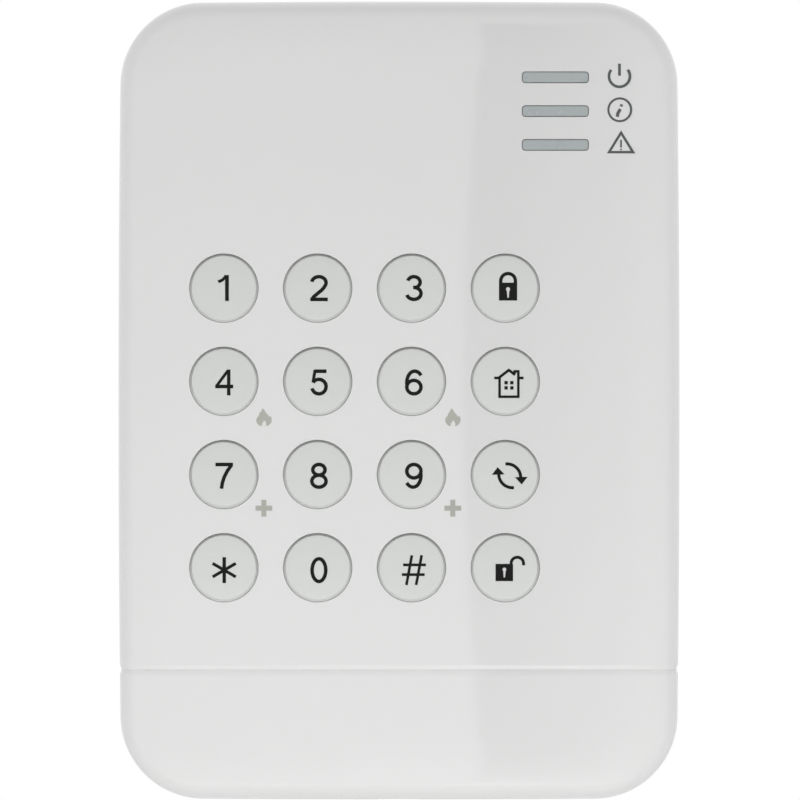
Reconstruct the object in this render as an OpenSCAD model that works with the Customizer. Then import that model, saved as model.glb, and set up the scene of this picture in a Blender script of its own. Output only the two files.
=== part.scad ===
// Wall-mounted alarm keypad: a fixed rear base and a front unit that hangs on it and swings open.
// Frame: +X right and +Z up as seen from the front, front faces -Y, y = 0 is the wall plane.
// Depths in this file are distances from the wall, so a depth t lies at y = -t.

/* [Case] */
// Case width across the middle
case_w = 90; // [84:1:110]
// Case height
case_h = 128; // [124:1:150]
// Depth from the wall to the key faces
case_d = 23; // [22.5:0.1:26]
// Corner radius of the outline
corner_r = 13; // [8:0.5:16]
// How far the long sides bow in at the ends
side_bow = 0.5; // [0:0.1:1.5]
// How far the short sides bow in at the ends
end_bow = 0.3; // [0:0.1:1.5]
// Radius of the rounded front edge
edge_r = 3; // [2:0.1:3.5]
// Rise of the front face from its margin to its flat middle
crown = 0.9; // [0.4:0.1:1.2]
// Wall thickness of the skirt
wall = 2.2; // [1.8:0.1:2.6]
// Gap between the skirt and the base nested in it
nest_gap = 0.35; // [0.2:0.05:0.6]
// Depth at which the skirt ends, clear of the wall
skirt_t = 1.6; // [1.2:0.1:2]
// Height of the parting line above the case centre
split_z = -43.1; // [-46:0.1:-42]
// Width of the groove along the parting line
groove_w = 1; // [0.4:0.1:1.6]
// Depth of that groove
groove_d = 0.7; // [0.3:0.1:1]

/* [Keys] */
// Left column centre
key_x0 = -28; // [-29:0.1:-27]
// Top row centre
key_z0 = 18; // [16:0.1:20]
// Column pitch
key_dx = 15; // [14.5:0.1:15.5]
// Row pitch
key_dz = 14.9; // [14.5:0.1:15.5]
// Key hole diameter in the cover
key_hole_d = 11; // [9:0.1:11.4]
// Gap around a cap in its hole
key_gap = 0.3; // [0.15:0.05:0.5]
// Key travel
key_travel = 0.9; // [0.4:0.1:1]
// How far a key stands proud of the cover
key_proud = 0.6; // [0.2:0.1:1]

/* [Light bars] */
// Bar centre across the case
bar_x = 25; // [22:0.1:26]
// Top bar centre
bar_z0 = 51.7; // [50:0.1:52]
// Bar pitch
bar_dz = 5.4; // [5:0.1:6]
// Slot length
bar_len = 10.7; // [8:0.1:11]
// Slot height
bar_h = 1.85; // [1.6:0.05:2.2]
// Corner radius of a slot
bar_r = 0.55; // [0.3:0.05:0.75]

/* [Board and cells] */
// Depth of the board's front face
board_t = 16; // [15.8:0.1:16.2]
// Board thickness
board_thk = 1.6; // [1:0.1:1.6]
// Board width
board_w = 81.2; // [78:0.2:82]
// Board height
board_h = 115; // [112:1:117]
// Cell diameter
cell_d = 10.5; // [10:0.1:10.5]
// Cell length with its button end
cell_len = 44.5; // [43:0.1:45]
// Distance between the two cell axes
cell_pitch = 11.4; // [11.2:0.1:12]

/* [Wall mount] */
// Wall screw spacing across
mount_dx = 60; // [50:1:64]
// Wall screw spacing up
mount_dz = 84; // [70:1:88]
// Wall screw hole diameter
mount_hole_d = 4.2; // [3.5:0.1:5]

/* [Cover hinge and lock] */
// Radius of the base's hook nose
nose_r = 1.2; // [1:0.1:1.3]
// Radial clearance of the cover's seat on that nose
seat_gap = 0.2; // [0.1:0.05:0.3]
// Lock screw thread diameter
lock_d = 3; // [2.5:0.1:3.2]

/* [Hidden] */
$fn = 48;

eps = 0.01;
hx = case_w / 2;
hz = case_h / 2;
// depths, from the key faces back to the wall
face_t = case_d - key_proud;
face_wall = 2.2;
inner_t = face_t - face_wall;
// how far ribs and bosses run into the face they stand on
face_lap = 0.4;
flange_gap = 0.2;
flange_thk = 0.8;
flange_front_t = inner_t - flange_gap;
flange_rear_t = flange_front_t - flange_thk;
dome_t = flange_rear_t - 0.55;
mat_thk = 1;
mat_t = board_t + mat_thk;
board_rear_t = board_t - board_thk;
base_t = 2.2;
rim_t = 6.5;

// key grid
key_r = key_hole_d / 2 - key_gap;
flange_w = min(key_dx, key_dz) - 1.5;
keys_x = key_x0 + 1.5 * key_dx;
keys_z = key_z0 - 1.5 * key_dz;
rows = [0, 1, 2, 3];
cols = [0, 1, 2, 3];

// light bars
lens_w = 12.8;
lens_h = 2 * bar_dz + 4.6;
lens_z = bar_z0 - bar_dz;
lens_sink = 0.25;
lens_plate = 2;
bars = [0, 1, 2];

// base and hinge
base_inset = wall + nest_gap;
rim_w = 1.6;
rim_top_z = hz - 12;
top_relief = 1.2;
nose_t = 3.4;
nose_z = hz - 3.6;
seat_r = nose_r + seat_gap;
seat_wall = 1.2;
seat_w = 7;
hook_x = [-24, 24];
hook_w = 8;
hook_room = hook_w + 0.8;

// lock screw, tamper pin and board screws
lock_t = 5.2;
lock_head_r = 2.7;
lock_head_h = 1.7;
lock_sink_z = -hz + 1.9;
lock_pad_z = -hz + 3.8;
lock_pad_w = 12.4;
lock_boss_z = -hz + 4.1;
lock_boss_t = 8.4;
tamper_x = 20;
tamper_z = -50;
tower_t = 8.2;
tower_roof = 1.2;
pin_head_t = base_t + 2.3;
switch_h = 4.2;
button_r = 1.75;
cover_screws = [[-38, 50], [38, 50], [-38, -36], [38, -36]];
fascia_screws = [[-32, -54], [32, -54]];
boss_r = 2.8;
boss_gap = 0.05;
pilot_r = 1.3;
screw_hole_r = 1.6;

// antenna wire
antenna_x = [-9, 13];
antenna_z = 53;
antenna_r = 0.45;

// battery bay, centred at x = 0
bay_z = -28;
bay_half = 24.7;
// the cells' button ends
cell_x1 = bay_half - 0.7;
cell_t = board_rear_t - 1 - cell_d / 2;
cell_z = [bay_z + cell_pitch / 2, bay_z - cell_pitch / 2];
holder_rear_t = 4.5;

white = [0.90, 0.90, 0.89];
key_grey = [0.82, 0.84, 0.82];
lens_grey = [0.62, 0.69, 0.69];
base_white = [0.86, 0.86, 0.85];
black = [0.08, 0.08, 0.09];
silicone = [0.55, 0.58, 0.60];
board_green = [0.05, 0.30, 0.16];
tin = [0.75, 0.76, 0.78];
gold = [0.80, 0.62, 0.28];
copper = [0.78, 0.45, 0.28];
amber = [0.95, 0.90, 0.70];

// ---- outline of the case -------------------------------------------------

corner_steps = 8;
long_steps = 6;
short_steps = 4;

function bowed(p) = [
    p[0] * (1 - side_bow / hx * pow(p[1] / hz, 2)),
    p[1] * (1 - end_bow / hz * pow(p[0] / hx, 2))
];

function arc_points(cx, cz, r, a0) = [
    for (i = [0 : corner_steps])
        [cx + r * cos(a0 + 90 * i / corner_steps), cz + r * sin(a0 + 90 * i / corner_steps)]
];

function between(p, q, n) = [for (i = [1 : n - 1]) p + (q - p) * i / n];

function ring(inset) =
    let (
        r = max(corner_r - inset, 0.4),
        cx = hx - inset - r,
        cz = hz - inset - r,
        a = arc_points(cx, cz, r, 0),
        b = arc_points(-cx, cz, r, 90),
        c = arc_points(-cx, -cz, r, 180),
        d = arc_points(cx, -cz, r, 270),
        n = corner_steps,
        flat = concat(
            a, between(a[n], b[0], short_steps),
            b, between(b[n], c[0], long_steps),
            c, between(c[n], d[0], short_steps),
            d, between(d[n], a[0], long_steps)
        )
    )
    [for (p = flat) bowed(p)];

// [inset, depth] pairs of the outer skin, from the skirt's rear edge to the flat middle
draft = 0.4;
crown_w = 7;
crown_steps = 3;
fillet_steps = 4;
// the fillet stops where its slope meets the crown's
fillet_end = 90 - atan(2 * crown / crown_w);
fillet_t = face_t - crown - edge_r * sin(fillet_end);
margin_in = draft + edge_r * (1 - cos(fillet_end));
skin = concat(
    [[0, skirt_t], [draft, fillet_t]],
    [
        for (i = [1 : fillet_steps])
            let (a = fillet_end * i / fillet_steps)
            [draft + edge_r * (1 - cos(a)), fillet_t + edge_r * sin(a)]
    ],
    [
        for (i = [1 : crown_steps])
            let (s = i / crown_steps)
            [margin_in + crown_w * s, face_t - crown * pow(1 - s, 2)]
    ]
);

// ---- helpers ---------------------------------------------------------------

// extrudes a 2D shape in X and Z from depth t0 out to depth t1
module slab(t0, t1) {
    translate([0, -t0, 0])
        rotate([90, 0, 0])
            linear_extrude(t1 - t0)
                children();
}

// a box from its centre in X and Z, its size, and two depths
module block(x, z, w, h, t0, t1) {
    translate([x - w / 2, -t1, z - h / 2])
        cube([w, t1 - t0, h]);
}

// a cylinder along Y between two depths
module rod(x, z, r, t0, t1) {
    translate([x, -t0, z])
        rotate([90, 0, 0])
            cylinder(h = t1 - t0, r = r);
}

// a cylinder along X
module bar_along_x(x0, x1, t, z, r) {
    translate([x0, -t, z])
        rotate([0, 90, 0])
            cylinder(h = x1 - x0, r = r);
}

// a rounded rectangle through two depths
module slot(x, z, len, h, r, t0, t1) {
    block(x, z, len - 2 * r, h, t0, t1);
    block(x, z, len, h - 2 * r, t0, t1);
    for (sx = [-1, 1])
        for (sz = [-1, 1])
            rod(x + sx * (len / 2 - r), z + sz * (h / 2 - r), r, t0, t1);
}

module at_keys() {
    for (r = rows)
        for (c = cols)
            translate([key_x0 + c * key_dx, 0, key_z0 - r * key_dz])
                children();
}

// an open coil along +Z from radius r0 to radius r1
module coil(r0, r1, height, turns, wire_r) {
    steps = 16 * turns;
    sides = 8;
    points = [
        for (i = [0 : steps])
            for (j = [0 : sides - 1])
                let (
                    a = 360 * turns * i / steps,
                    r = r0 + (r1 - r0) * i / steps + wire_r * cos(360 * j / sides),
                    z = height * i / steps + wire_r * sin(360 * j / sides)
                )
                [r * cos(a), r * sin(a), z]
    ];
    faces = concat(
        [[for (j = [0 : sides - 1]) j]],
        [[for (j = [sides - 1 : -1 : 0]) steps * sides + j]],
        [
            for (i = [0 : steps - 1])
                for (j = [0 : sides - 1])
                    let (k = (j + 1) % sides, a = i * sides, b = a + sides)
                    [a + j, b + j, b + k]
        ],
        [
            for (i = [0 : steps - 1])
                for (j = [0 : sides - 1])
                    let (k = (j + 1) % sides, a = i * sides, b = a + sides)
                    [a + j, b + k, a + k]
        ]
    );
    polyhedron(points, faces, convexity = 8);
}

// ---- shell of the front unit -----------------------------------------------

module outer_skin() {
    rings = [for (s = skin) ring(s[0])];
    n = len(rings[0]);
    m = len(skin);
    points = [for (i = [0 : m - 1]) for (p = rings[i]) [p[0], -skin[i][1], p[1]]];
    sides = [
        for (i = [0 : m - 2])
            for (j = [0 : n - 1])
                let (k = (j + 1) % n, a = i * n, b = a + n)
                [a + j, b + j, b + k]
    ];
    more = [
        for (i = [0 : m - 2])
            for (j = [0 : n - 1])
                let (k = (j + 1) % n, a = i * n, b = a + n)
                [a + j, b + k, a + k]
    ];
    back = [for (j = [0 : n - 1]) j];
    front = [for (j = [n - 1 : -1 : 0]) (m - 1) * n + j];
    polyhedron(points, concat([back, front], sides, more), convexity = 4);
}

module hollow() {
    slab(0, fillet_t - 0.3)
        polygon(ring(wall));
    slab(fillet_t - 0.4, fillet_t + 0.9)
        polygon(ring(wall + 1.3));
    slab(fillet_t + 0.8, inner_t)
        polygon(ring(wall + 2.8));
}

module shell() {
    difference() {
        outer_skin();
        hollow();
    }
}

// the skin's cross-section at the parting line, moved in by the groove's depth
function skin_at_split(side) = [
    for (s = skin)
        [side * (hx - s[0] - groove_d) * (1 - side_bow / hx * pow(split_z / hz, 2)),
            -(s[1] - (s[1] > fillet_t ? groove_d : 0))]
];

module groove_cut() {
    left = skin_at_split(-1);
    right = skin_at_split(1);
    last = len(skin) - 1;
    translate([0, 0, split_z - groove_w / 2])
        linear_extrude(groove_w)
            difference() {
                translate([-hx - 5, -case_d - 5])
                    square([2 * hx + 10, case_d + 5]);
                polygon(concat(
                    [[-hx + groove_d, 1]], left,
                    [for (i = [last : -1 : 0]) right[i]], [[hx - groove_d, 1]]
                ));
            }
}

// a screw boss that stands on the face and ends just off the board
module boss(p) {
    t0 = board_t + boss_gap;
    difference() {
        rod(p[0], p[1], boss_r, t0, inner_t + face_lap);
        rod(p[0], p[1], pilot_r, t0 - 1, inner_t - 0.5);
    }
}

module front_cover() {
    tab_x = [-26, 0, 26];
    tab_w = 10;
    tab_thk = 1.4;
    tab_gap = 0.15;
    rib_t = mat_t + 0.3;
    row_rib = 1;
    end_rib = 0.8;
    color(white)
    difference() {
        union() {
            intersection() {
                shell();
                translate([-hx - 5, -case_d - 5, split_z + 0.05])
                    cube([2 * hx + 10, case_d + 10, case_h]);
            }
            for (p = cover_screws)
                boss(p);
            // ribs between the key rows guide the square key flanges
            for (r = [-1 : 3])
                block(keys_x, key_z0 - (r + 0.5) * key_dz,
                    3 * key_dx + flange_w + 1.4, row_rib, rib_t, inner_t + face_lap);
            // end ribs beside the outer columns
            for (c = [-0.5, 3.5])
                block(key_x0 + c * key_dx, keys_z,
                    end_rib, 4 * key_dz + row_rib, rib_t, inner_t + face_lap);
            // tabs that lap behind the lower fascia
            for (x = tab_x) {
                block(x, split_z - 0.5, tab_w, 9, inner_t - tab_thk, inner_t - tab_gap);
                block(x, split_z + 2.2, tab_w, 3.6, inner_t - tab_thk, inner_t + face_lap);
            }
            // hinge seats
            for (x = hook_x)
                bar_along_x(x - seat_w / 2, x + seat_w / 2, nose_t, nose_z, seat_r + seat_wall);
        }
        at_keys()
            rod(0, 0, key_hole_d / 2, inner_t - 1, face_t + 1);
        for (i = bars)
            slot(bar_x, bar_z0 - i * bar_dz, bar_len, bar_h, bar_r, inner_t - 1, face_t + 1);
        groove_cut();
        for (x = hook_x) {
            bar_along_x(x - hook_room / 2, x + hook_room / 2, nose_t, nose_z, seat_r);
            seat_mouth(x);
        }
    }
}

// the open part of a hinge seat, where the hook enters and which lets the cover turn
module seat_mouth(x) {
    far = 6;
    from = 65;
    to = 250;
    mouth = [
        [0, 0],
        [far * cos(from), far * sin(from)],
        [far, 1],
        [far, -far],
        [far * cos(to), far * sin(to)]
    ];
    reach = 4;
    intersection() {
        translate([x - hook_room / 2, -nose_t, nose_z])
            rotate([90, 0, 90])
                linear_extrude(hook_room)
                    polygon(mouth);
        // never into the top wall or behind the skirt's edge
        translate([x - hook_room, -nose_t - reach, nose_z - reach])
            cube([2 * hook_room, 2 * reach, reach + hz - wall - nose_z - 0.15]);
    }
}

module lower_fascia() {
    color(white)
    difference() {
        union() {
            intersection() {
                shell();
                translate([-hx - 5, -case_d - 5, -case_h])
                    cube([2 * hx + 10, case_d + 10, case_h + split_z - 0.05]);
            }
            for (p = fascia_screws)
                boss(p);
            // pad that the lock screw clamps
            block(0, (-hz + 1 + lock_pad_z) / 2, lock_pad_w, lock_pad_z + hz - 1, skirt_t, 9.6);
        }
        groove_cut();
        // slots for the head and the shank, open towards the wall
        lock_slot(lock_head_r + 0.6, lock_sink_z);
        lock_slot(lock_d / 2 + 0.3, lock_pad_z + 1);
    }
}

module lock_slot(r, z1) {
    z0 = -hz - 1;
    translate([0, -lock_t, z0])
        cylinder(h = z1 - z0, r = r);
    translate([-r, -lock_t, z0])
        cube([2 * r, lock_t + 1, z1 - z0]);
}

// ---- rear base ---------------------------------------------------------------

module rear_base() {
    rib_h = 1.6;
    rib_w = 1.2;
    lock_boss_h = 8.8;
    spring_room_r = 4;
    pin_room_r = 2.6;
    pin_guide_r = 1.6;
    knockouts = [[0, 14, 24, 16], [0, 48, 16, 8]];
    knockout_skin = 0.8;
    color(base_white)
    difference() {
        union() {
            base_plate();
            difference() {
                slab(base_t - eps, rim_t)
                    polygon(ring(base_inset));
                slab(0, rim_t + 1)
                    polygon(ring(base_inset + rim_w));
                block(0, rim_top_z + 20, case_w, 40, 0, rim_t + 1);
            }
            // raised rings around the wall screw holes
            at_mounts()
                rod(0, 0, 5, base_t - eps, base_t + 1);
            // stiffening ribs
            for (z = [-5, 33])
                block(0, z, 70, rib_w, base_t - eps, base_t + rib_h);
            for (x = [-18, 18])
                block(x, 14, rib_w, 38, base_t - eps, base_t + rib_h);
            // boss that takes the lock screw
            block(0, lock_boss_z + lock_boss_h / 2, 10, lock_boss_h, base_t - eps, lock_boss_t);
            // tower that guides the tamper pin
            rod(tamper_x, tamper_z, spring_room_r + 1.2, base_t - eps, tower_t);
            // hooks
            for (x = hook_x) {
                bar_along_x(x - hook_w / 2, x + hook_w / 2, nose_t, nose_z, nose_r);
                block(x, nose_z - 0.6, hook_w, 1, base_t - 0.4, nose_t);
            }
        }
        at_mounts()
            rod(0, 0, mount_hole_d / 2, -1, base_t + 3);
        // room for the lock pad
        block(0, -hz + 2, lock_pad_w + 1.4, 4.3, -1, rim_t + 1);
        translate([0, -lock_t, lock_boss_z - 1])
            cylinder(h = lock_boss_h - 0.4, r = lock_d / 2 + 0.05);
        // bore for the tamper pin and its spring
        rod(tamper_x, tamper_z, pin_room_r, -1, base_t + 1);
        rod(tamper_x, tamper_z, spring_room_r, base_t, tower_t - tower_roof);
        rod(tamper_x, tamper_z, pin_guide_r, base_t, tower_t + 1);
        // cable knock-outs, thinned from behind
        for (k = knockouts)
            block(k[0], k[1], k[2], k[3], -1, base_t - knockout_skin);
    }
}

// the plate's top end is drawn in, so the cover's edge clears it as the cover swings
module base_plate() {
    relief_z = hz - 14;
    difference() {
        slab(0, base_t)
            polygon(ring(base_inset));
        difference() {
            block(0, relief_z + 20, case_w, 40, -1, base_t + 1);
            slab(-2, base_t + 2)
                polygon(ring(base_inset + top_relief));
        }
    }
}

module at_mounts() {
    for (x = [-mount_dx / 2, mount_dx / 2])
        for (z = [-mount_dz / 2, mount_dz / 2])
            translate([x, 0, z])
                children();
}

// ---- keys ----------------------------------------------------------------------

module key_cap(c, r) {
    edge = 0.45;
    lap = 0.2;
    stem_r = 2.4;
    height = case_d - flange_front_t + lap;
    color(key_grey)
    translate([key_x0 + c * key_dx, 0, key_z0 - r * key_dz])
        union() {
            translate([0, -flange_front_t + lap, 0])
                rotate([90, 0, 0])
                    rotate_extrude()
                        polygon([
                            [0, 0],
                            [key_r, 0],
                            [key_r, height - edge],
                            [key_r - edge * 0.3, height - edge * 0.3],
                            [key_r - edge, height],
                            [0, height]
                        ]);
            // square flange with clipped corners
            intersection() {
                block(0, 0, flange_w, flange_w, flange_rear_t, flange_front_t);
                rod(0, 0, flange_w * 0.64, flange_rear_t, flange_front_t);
            }
            rod(0, 0, stem_r, dome_t + 0.1, flange_rear_t + 0.1);
        }
}

module key_1() { key_cap(0, 0); }
module key_2() { key_cap(1, 0); }
module key_3() { key_cap(2, 0); }
module key_arm() { key_cap(3, 0); }
module key_4() { key_cap(0, 1); }
module key_5() { key_cap(1, 1); }
module key_6() { key_cap(2, 1); }
module key_home() { key_cap(3, 1); }
module key_7() { key_cap(0, 2); }
module key_8() { key_cap(1, 2); }
module key_9() { key_cap(2, 2); }
module key_status() { key_cap(3, 2); }
module key_star() { key_cap(0, 3); }
module key_0() { key_cap(1, 3); }
module key_hash() { key_cap(2, 3); }
module key_disarm() { key_cap(3, 3); }

module key_mat() {
    dome_r = 4.6;
    dome_top_r = 2.9;
    skin_thk = 0.7;
    pill_r = 1.6;
    w = 3 * key_dx + flange_w + 1;
    h = 3 * key_dz + flange_w + 1;
    color(silicone)
    difference() {
        union() {
            block(keys_x, keys_z, w, h, board_t + 0.02, mat_t);
            at_keys()
                dome(dome_r, dome_top_r, mat_t - eps, dome_t);
        }
        // the hollow of each dome, around the pill that meets the contacts at full travel
        at_keys()
            difference() {
                dome(dome_r - skin_thk, dome_top_r - skin_thk, board_t - 0.1, dome_t - skin_thk);
                rod(0, 0, pill_r, board_t + 0.1 + key_travel, dome_t);
            }
        at_key_leds()
            rod(0, 0, 1.4, board_t - 1, mat_t + 1);
    }
}

module dome(r0, r1, t0, t1) {
    translate([0, -t0, 0])
        rotate([90, 0, 0])
            cylinder(h = t1 - t0, r1 = r0, r2 = r1);
}

module key_contacts() {
    color(black)
    at_keys()
        rod(0, 0, 2.6, board_t, board_t + 0.05);
}

// one lamp between each two neighbouring keys of a row
module at_key_leds() {
    for (r = rows)
        for (c = [0, 1, 2])
            translate([key_x0 + (c + 0.5) * key_dx, 0, key_z0 - r * key_dz])
                children();
}

module key_leds() {
    color(amber)
    at_key_leds()
        block(0, 0, 0.8, 1.6, board_t, board_t + 0.6);
}

// ---- light bars ------------------------------------------------------------------

module light_guide() {
    gap = 0.1;
    color(lens_grey)
    union() {
        block(bar_x, lens_z, lens_w, lens_h, inner_t - lens_plate, inner_t - gap);
        for (i = bars) {
            slot(bar_x, bar_z0 - i * bar_dz, bar_len - 2 * gap, bar_h - 2 * gap, bar_r - gap,
                inner_t - lens_plate / 2, face_t - lens_sink);
            // the light pipe behind each bar
            block(bar_x, bar_z0 - i * bar_dz, 8, 1.4, board_t + 1, inner_t - 1.5);
        }
    }
}

module light_shroud() {
    color(black)
    difference() {
        block(bar_x, lens_z, lens_w + 0.8, lens_h + 0.8,
            board_t + 0.05, inner_t - lens_plate - 0.05);
        for (i = bars)
            block(bar_x, bar_z0 - i * bar_dz, 9.4, 3.6, board_t - 1, inner_t);
    }
}

module status_leds() {
    color(amber)
    for (i = bars)
        block(bar_x, bar_z0 - i * bar_dz, 3.2, 1.6, board_t, board_t + 0.8);
}

// ---- board and what is soldered to it -----------------------------------------------

module main_board() {
    r = 8;
    color(board_green)
    difference() {
        union() {
            block(0, 0, board_w - 2 * r, board_h, board_rear_t, board_t);
            block(0, 0, board_w, board_h - 2 * r, board_rear_t, board_t);
            for (x = [-1, 1])
                for (z = [-1, 1])
                    rod(x * (board_w / 2 - r), z * (board_h / 2 - r), r, board_rear_t, board_t);
        }
        for (p = concat(cover_screws, fascia_screws))
            rod(p[0], p[1], screw_hole_r, board_rear_t - 1, board_t + 1);
        for (x = antenna_x)
            rod(x, antenna_z, antenna_r + 0.1, board_rear_t - 1, board_t + 1);
    }
}

// a chip on the rear of the board
module rear_block(x, z, w, h, depth) {
    block(x, z, w, h, board_rear_t - depth, board_rear_t);
}

module microcontroller() {
    mcu = [-12, 14];
    body = 10;
    pins = 11;
    pitch = 0.8;
    color(black)
    union() {
        rear_block(mcu[0], mcu[1], body, body, 1.4);
        for (i = [0 : pins - 1]) {
            s = (i - (pins - 1) / 2) * pitch;
            rear_block(mcu[0] + s, mcu[1], 0.35, body + 2, 0.3);
            rear_block(mcu[0], mcu[1] + s, body + 2, 0.35, 0.3);
        }
    }
}

module crystal() {
    x = -12;
    z = 3;
    color(tin)
    union() {
        rear_block(x, z, 5, 3.2, 0.7);
        rear_block(x, z, 4.4, 2.6, 1);
    }
}

module radio_can() {
    x = -22;
    z = 43;
    w = 19;
    h = 15;
    height = 2.6;
    sheet = 0.3;
    vent_pitch = 2.4;
    color(tin)
    difference() {
        block(x, z, w, h, board_t, board_t + height);
        block(x, z, w - 2 * sheet, h - 2 * sheet, board_t - 1, board_t + height - sheet);
        for (i = [-2 : 2])
            for (j = [-1 : 1])
                rod(x + i * vent_pitch, z + j * vent_pitch, 0.5, board_t, board_t + height + 1);
    }
}

// a bent wire that runs along the board's top edge
module antenna() {
    t = board_t + 2.4;
    bend = 1;
    color(copper)
    union() {
        bar_along_x(antenna_x[0] + bend, antenna_x[1] - bend, t, antenna_z, antenna_r);
        for (x = antenna_x)
            rod(x, antenna_z, antenna_r, board_rear_t - 0.8, t - bend);
        for (i = [0, 1])
            translate([antenna_x[i] + (i == 0 ? bend : -bend), -(t - bend), antenna_z])
                rotate([0, 0, 180 + 90 * i])
                    rotate_extrude(angle = 90)
                        translate([bend, 0])
                            circle(antenna_r);
    }
}

module regulator() {
    x = 14;
    z = 16;
    lead = 0.4;
    lead_pitch = 2.3;
    color(black)
    union() {
        rear_block(x, z, 6.5, 3.5, 1.6);
        rear_block(x, z + 2.6, 3, 2, lead);
        for (i = [-1 : 1])
            rear_block(x + i * lead_pitch, z - 2.6, 0.7, 2, lead);
    }
}

module capacitor() {
    x = 26;
    z = 14;
    foot = 0.8;
    can_r = 3.15;
    height = 5.8;
    color(tin)
    union() {
        rear_block(x, z, 6.6, 6.6, foot);
        rod(x, z, can_r, board_rear_t - height, board_rear_t - foot + eps);
    }
}

module chip_parts() {
    rear = [
        [-24, 20], [-24, 17], [-24, 14], [-24, 11], [-2, 20], [-2, 17], [-2, 11], [-2, 8],
        [-19, 3], [-5, 3], [6, 20], [6, 12], [20, 8], [33, 20], [33, 8], [10, -50], [30, -47]
    ];
    front = [[-8, 47], [-8, 44], [-8, 41], [-35, 43], [-35, 39], [8, 44], [8, 41]];
    color([0.35, 0.30, 0.24])
    union() {
        for (p = rear)
            rear_block(p[0], p[1], 1.6, 0.8, 0.6);
        for (p = front)
            block(p[0], p[1], 1.6, 0.8, board_t, board_t + 0.6);
    }
}

module program_header() {
    x = -31;
    z = 33;
    pitch = 2.54;
    pin_w = 0.64;
    color(black)
    union() {
        rear_block(x, z, 3 * pitch, 2 * pitch, 2.5);
        for (i = [-1 : 1])
            for (j = [-0.5, 0.5])
                block(x + i * pitch, z + j * pitch, pin_w, pin_w,
                    board_rear_t - 7, board_rear_t - 2);
    }
}

module sounder() {
    x = -13;
    z = -49.5;
    can_r = 6.4;
    height = 3.5;
    port_r = 1.1;
    color(black)
    difference() {
        union() {
            rod(x, z, can_r, board_t, board_t + height - 0.3);
            rod(x, z, can_r - 0.6, board_t, board_t + height);
        }
        rod(x, z, port_r, board_t + height - 1, board_t + height + 1);
    }
}

// ---- battery ------------------------------------------------------------------------

module battery_holder() {
    end_wall = 1.4;
    side_wall = 1.3;
    side_gap = 0.2;
    w = 2 * (bay_half + end_wall);
    h = cell_pitch + cell_d + 2 * side_gap + 2 * side_wall;
    cut_w = 22;
    cut_t = 2.2;
    color(black)
    difference() {
        block(0, bay_z, w, h, holder_rear_t, board_rear_t - 0.02);
        for (z = cell_z)
            block(0, z, 2 * bay_half, cell_d + 2 * side_gap, 0, board_rear_t - 0.85);
        // finger cut-outs in the long walls
        for (s = [-1, 1])
            block(0, bay_z + s * h / 2, cut_w, 4, 0, holder_rear_t + cut_t);
    }
}

// turns a module drawn for the upper cell so that it fits both cells
module at_cells() {
    for (i = [0, 1])
        translate([0, 0, cell_z[i]])
            rotate([0, 180 * i, 0])
                children();
}

module battery_cells() {
    nub_r = 1.9;
    nub_len = 0.8;
    x0 = cell_x1 - cell_len;
    color([0.25, 0.30, 0.34])
    at_cells()
        union() {
            bar_along_x(x0, cell_x1 - nub_len, cell_t, 0, cell_d / 2);
            bar_along_x(cell_x1 - nub_len - eps, cell_x1, cell_t, 0, nub_r);
        }
}

// plus plates, and minus plates behind the springs
module battery_contacts() {
    sheet = 0.5;
    plate_x = bay_half - 0.4;
    tail_w = 1.4;
    tail_t = board_rear_t - 0.9;
    color(tin)
    at_cells()
        union() {
            block(plate_x, 0, sheet, 7, cell_t - 3, cell_t + 3);
            block(-plate_x, 0, sheet, 8, cell_t - 4, cell_t + 4);
            for (s = [-1, 1])
                block(s * plate_x, 0, sheet, tail_w, cell_t, tail_t);
        }
}

module battery_springs() {
    wire_r = 0.35;
    x0 = -bay_half + 0.67;
    x1 = cell_x1 - cell_len - 0.02;
    color(tin)
    at_cells()
        translate([x0 + wire_r, -cell_t, 0])
            rotate([0, 90, 0])
                coil(3.6, 2, x1 - x0 - 2 * wire_r, 4, wire_r);
}

// ---- tamper contact --------------------------------------------------------------------

module tamper_switch() {
    rear_t = board_rear_t - switch_h;
    color(black)
    difference() {
        union() {
            rear_block(tamper_x, tamper_z, 6, 6, switch_h);
            for (sx = [-1, 1])
                for (sz = [-1, 1])
                    rear_block(tamper_x + sx * 3.2, tamper_z + sz * 2.25, 1.4, 0.8, 0.4);
        }
        rod(tamper_x, tamper_z, button_r + 0.1, rear_t - 1, rear_t + 0.6);
    }
}

module tamper_button() {
    color([0.80, 0.80, 0.80])
    rod(tamper_x, tamper_z, button_r, tower_t + 1.2, board_rear_t - switch_h - 0.05);
}

// foot towards the wall, collar under the spring, and the pin that meets the button
module tamper_pin() {
    foot_r = 2.5;
    collar_r = 3.8;
    collar_t = pin_head_t - 0.8;
    color(base_white)
    union() {
        rod(tamper_x, tamper_z, foot_r, 0.05, collar_t + eps);
        rod(tamper_x, tamper_z, collar_r, collar_t, pin_head_t);
        rod(tamper_x, tamper_z, 1.5, pin_head_t - 0.1, tower_t + 1.1);
    }
}

module tamper_spring() {
    wire_r = 0.2;
    t0 = pin_head_t + 0.02 + wire_r;
    t1 = tower_t - tower_roof - 0.02 - wire_r;
    color(tin)
    translate([tamper_x, -t0, tamper_z])
        rotate([90, 0, 0])
            coil(2.9, 2.9, t1 - t0, 3, wire_r);
}

// ---- screws --------------------------------------------------------------------------------

module board_screws() {
    head_r = 2.3;
    head_h = 1.5;
    cross = [2.4, 0.5, 0.8];
    color(tin)
    for (p = concat(cover_screws, fascia_screws))
        difference() {
            union() {
                rod(p[0], p[1], head_r, board_rear_t - head_h, board_rear_t - 0.02);
                rod(p[0], p[1], pilot_r - 0.05, board_rear_t - 1, board_t + 3.2);
            }
            block(p[0], p[1], cross[0], cross[1], 0, board_rear_t - head_h + cross[2]);
            block(p[0], p[1], cross[1], cross[0], 0, board_rear_t - head_h + cross[2]);
        }
}

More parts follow.
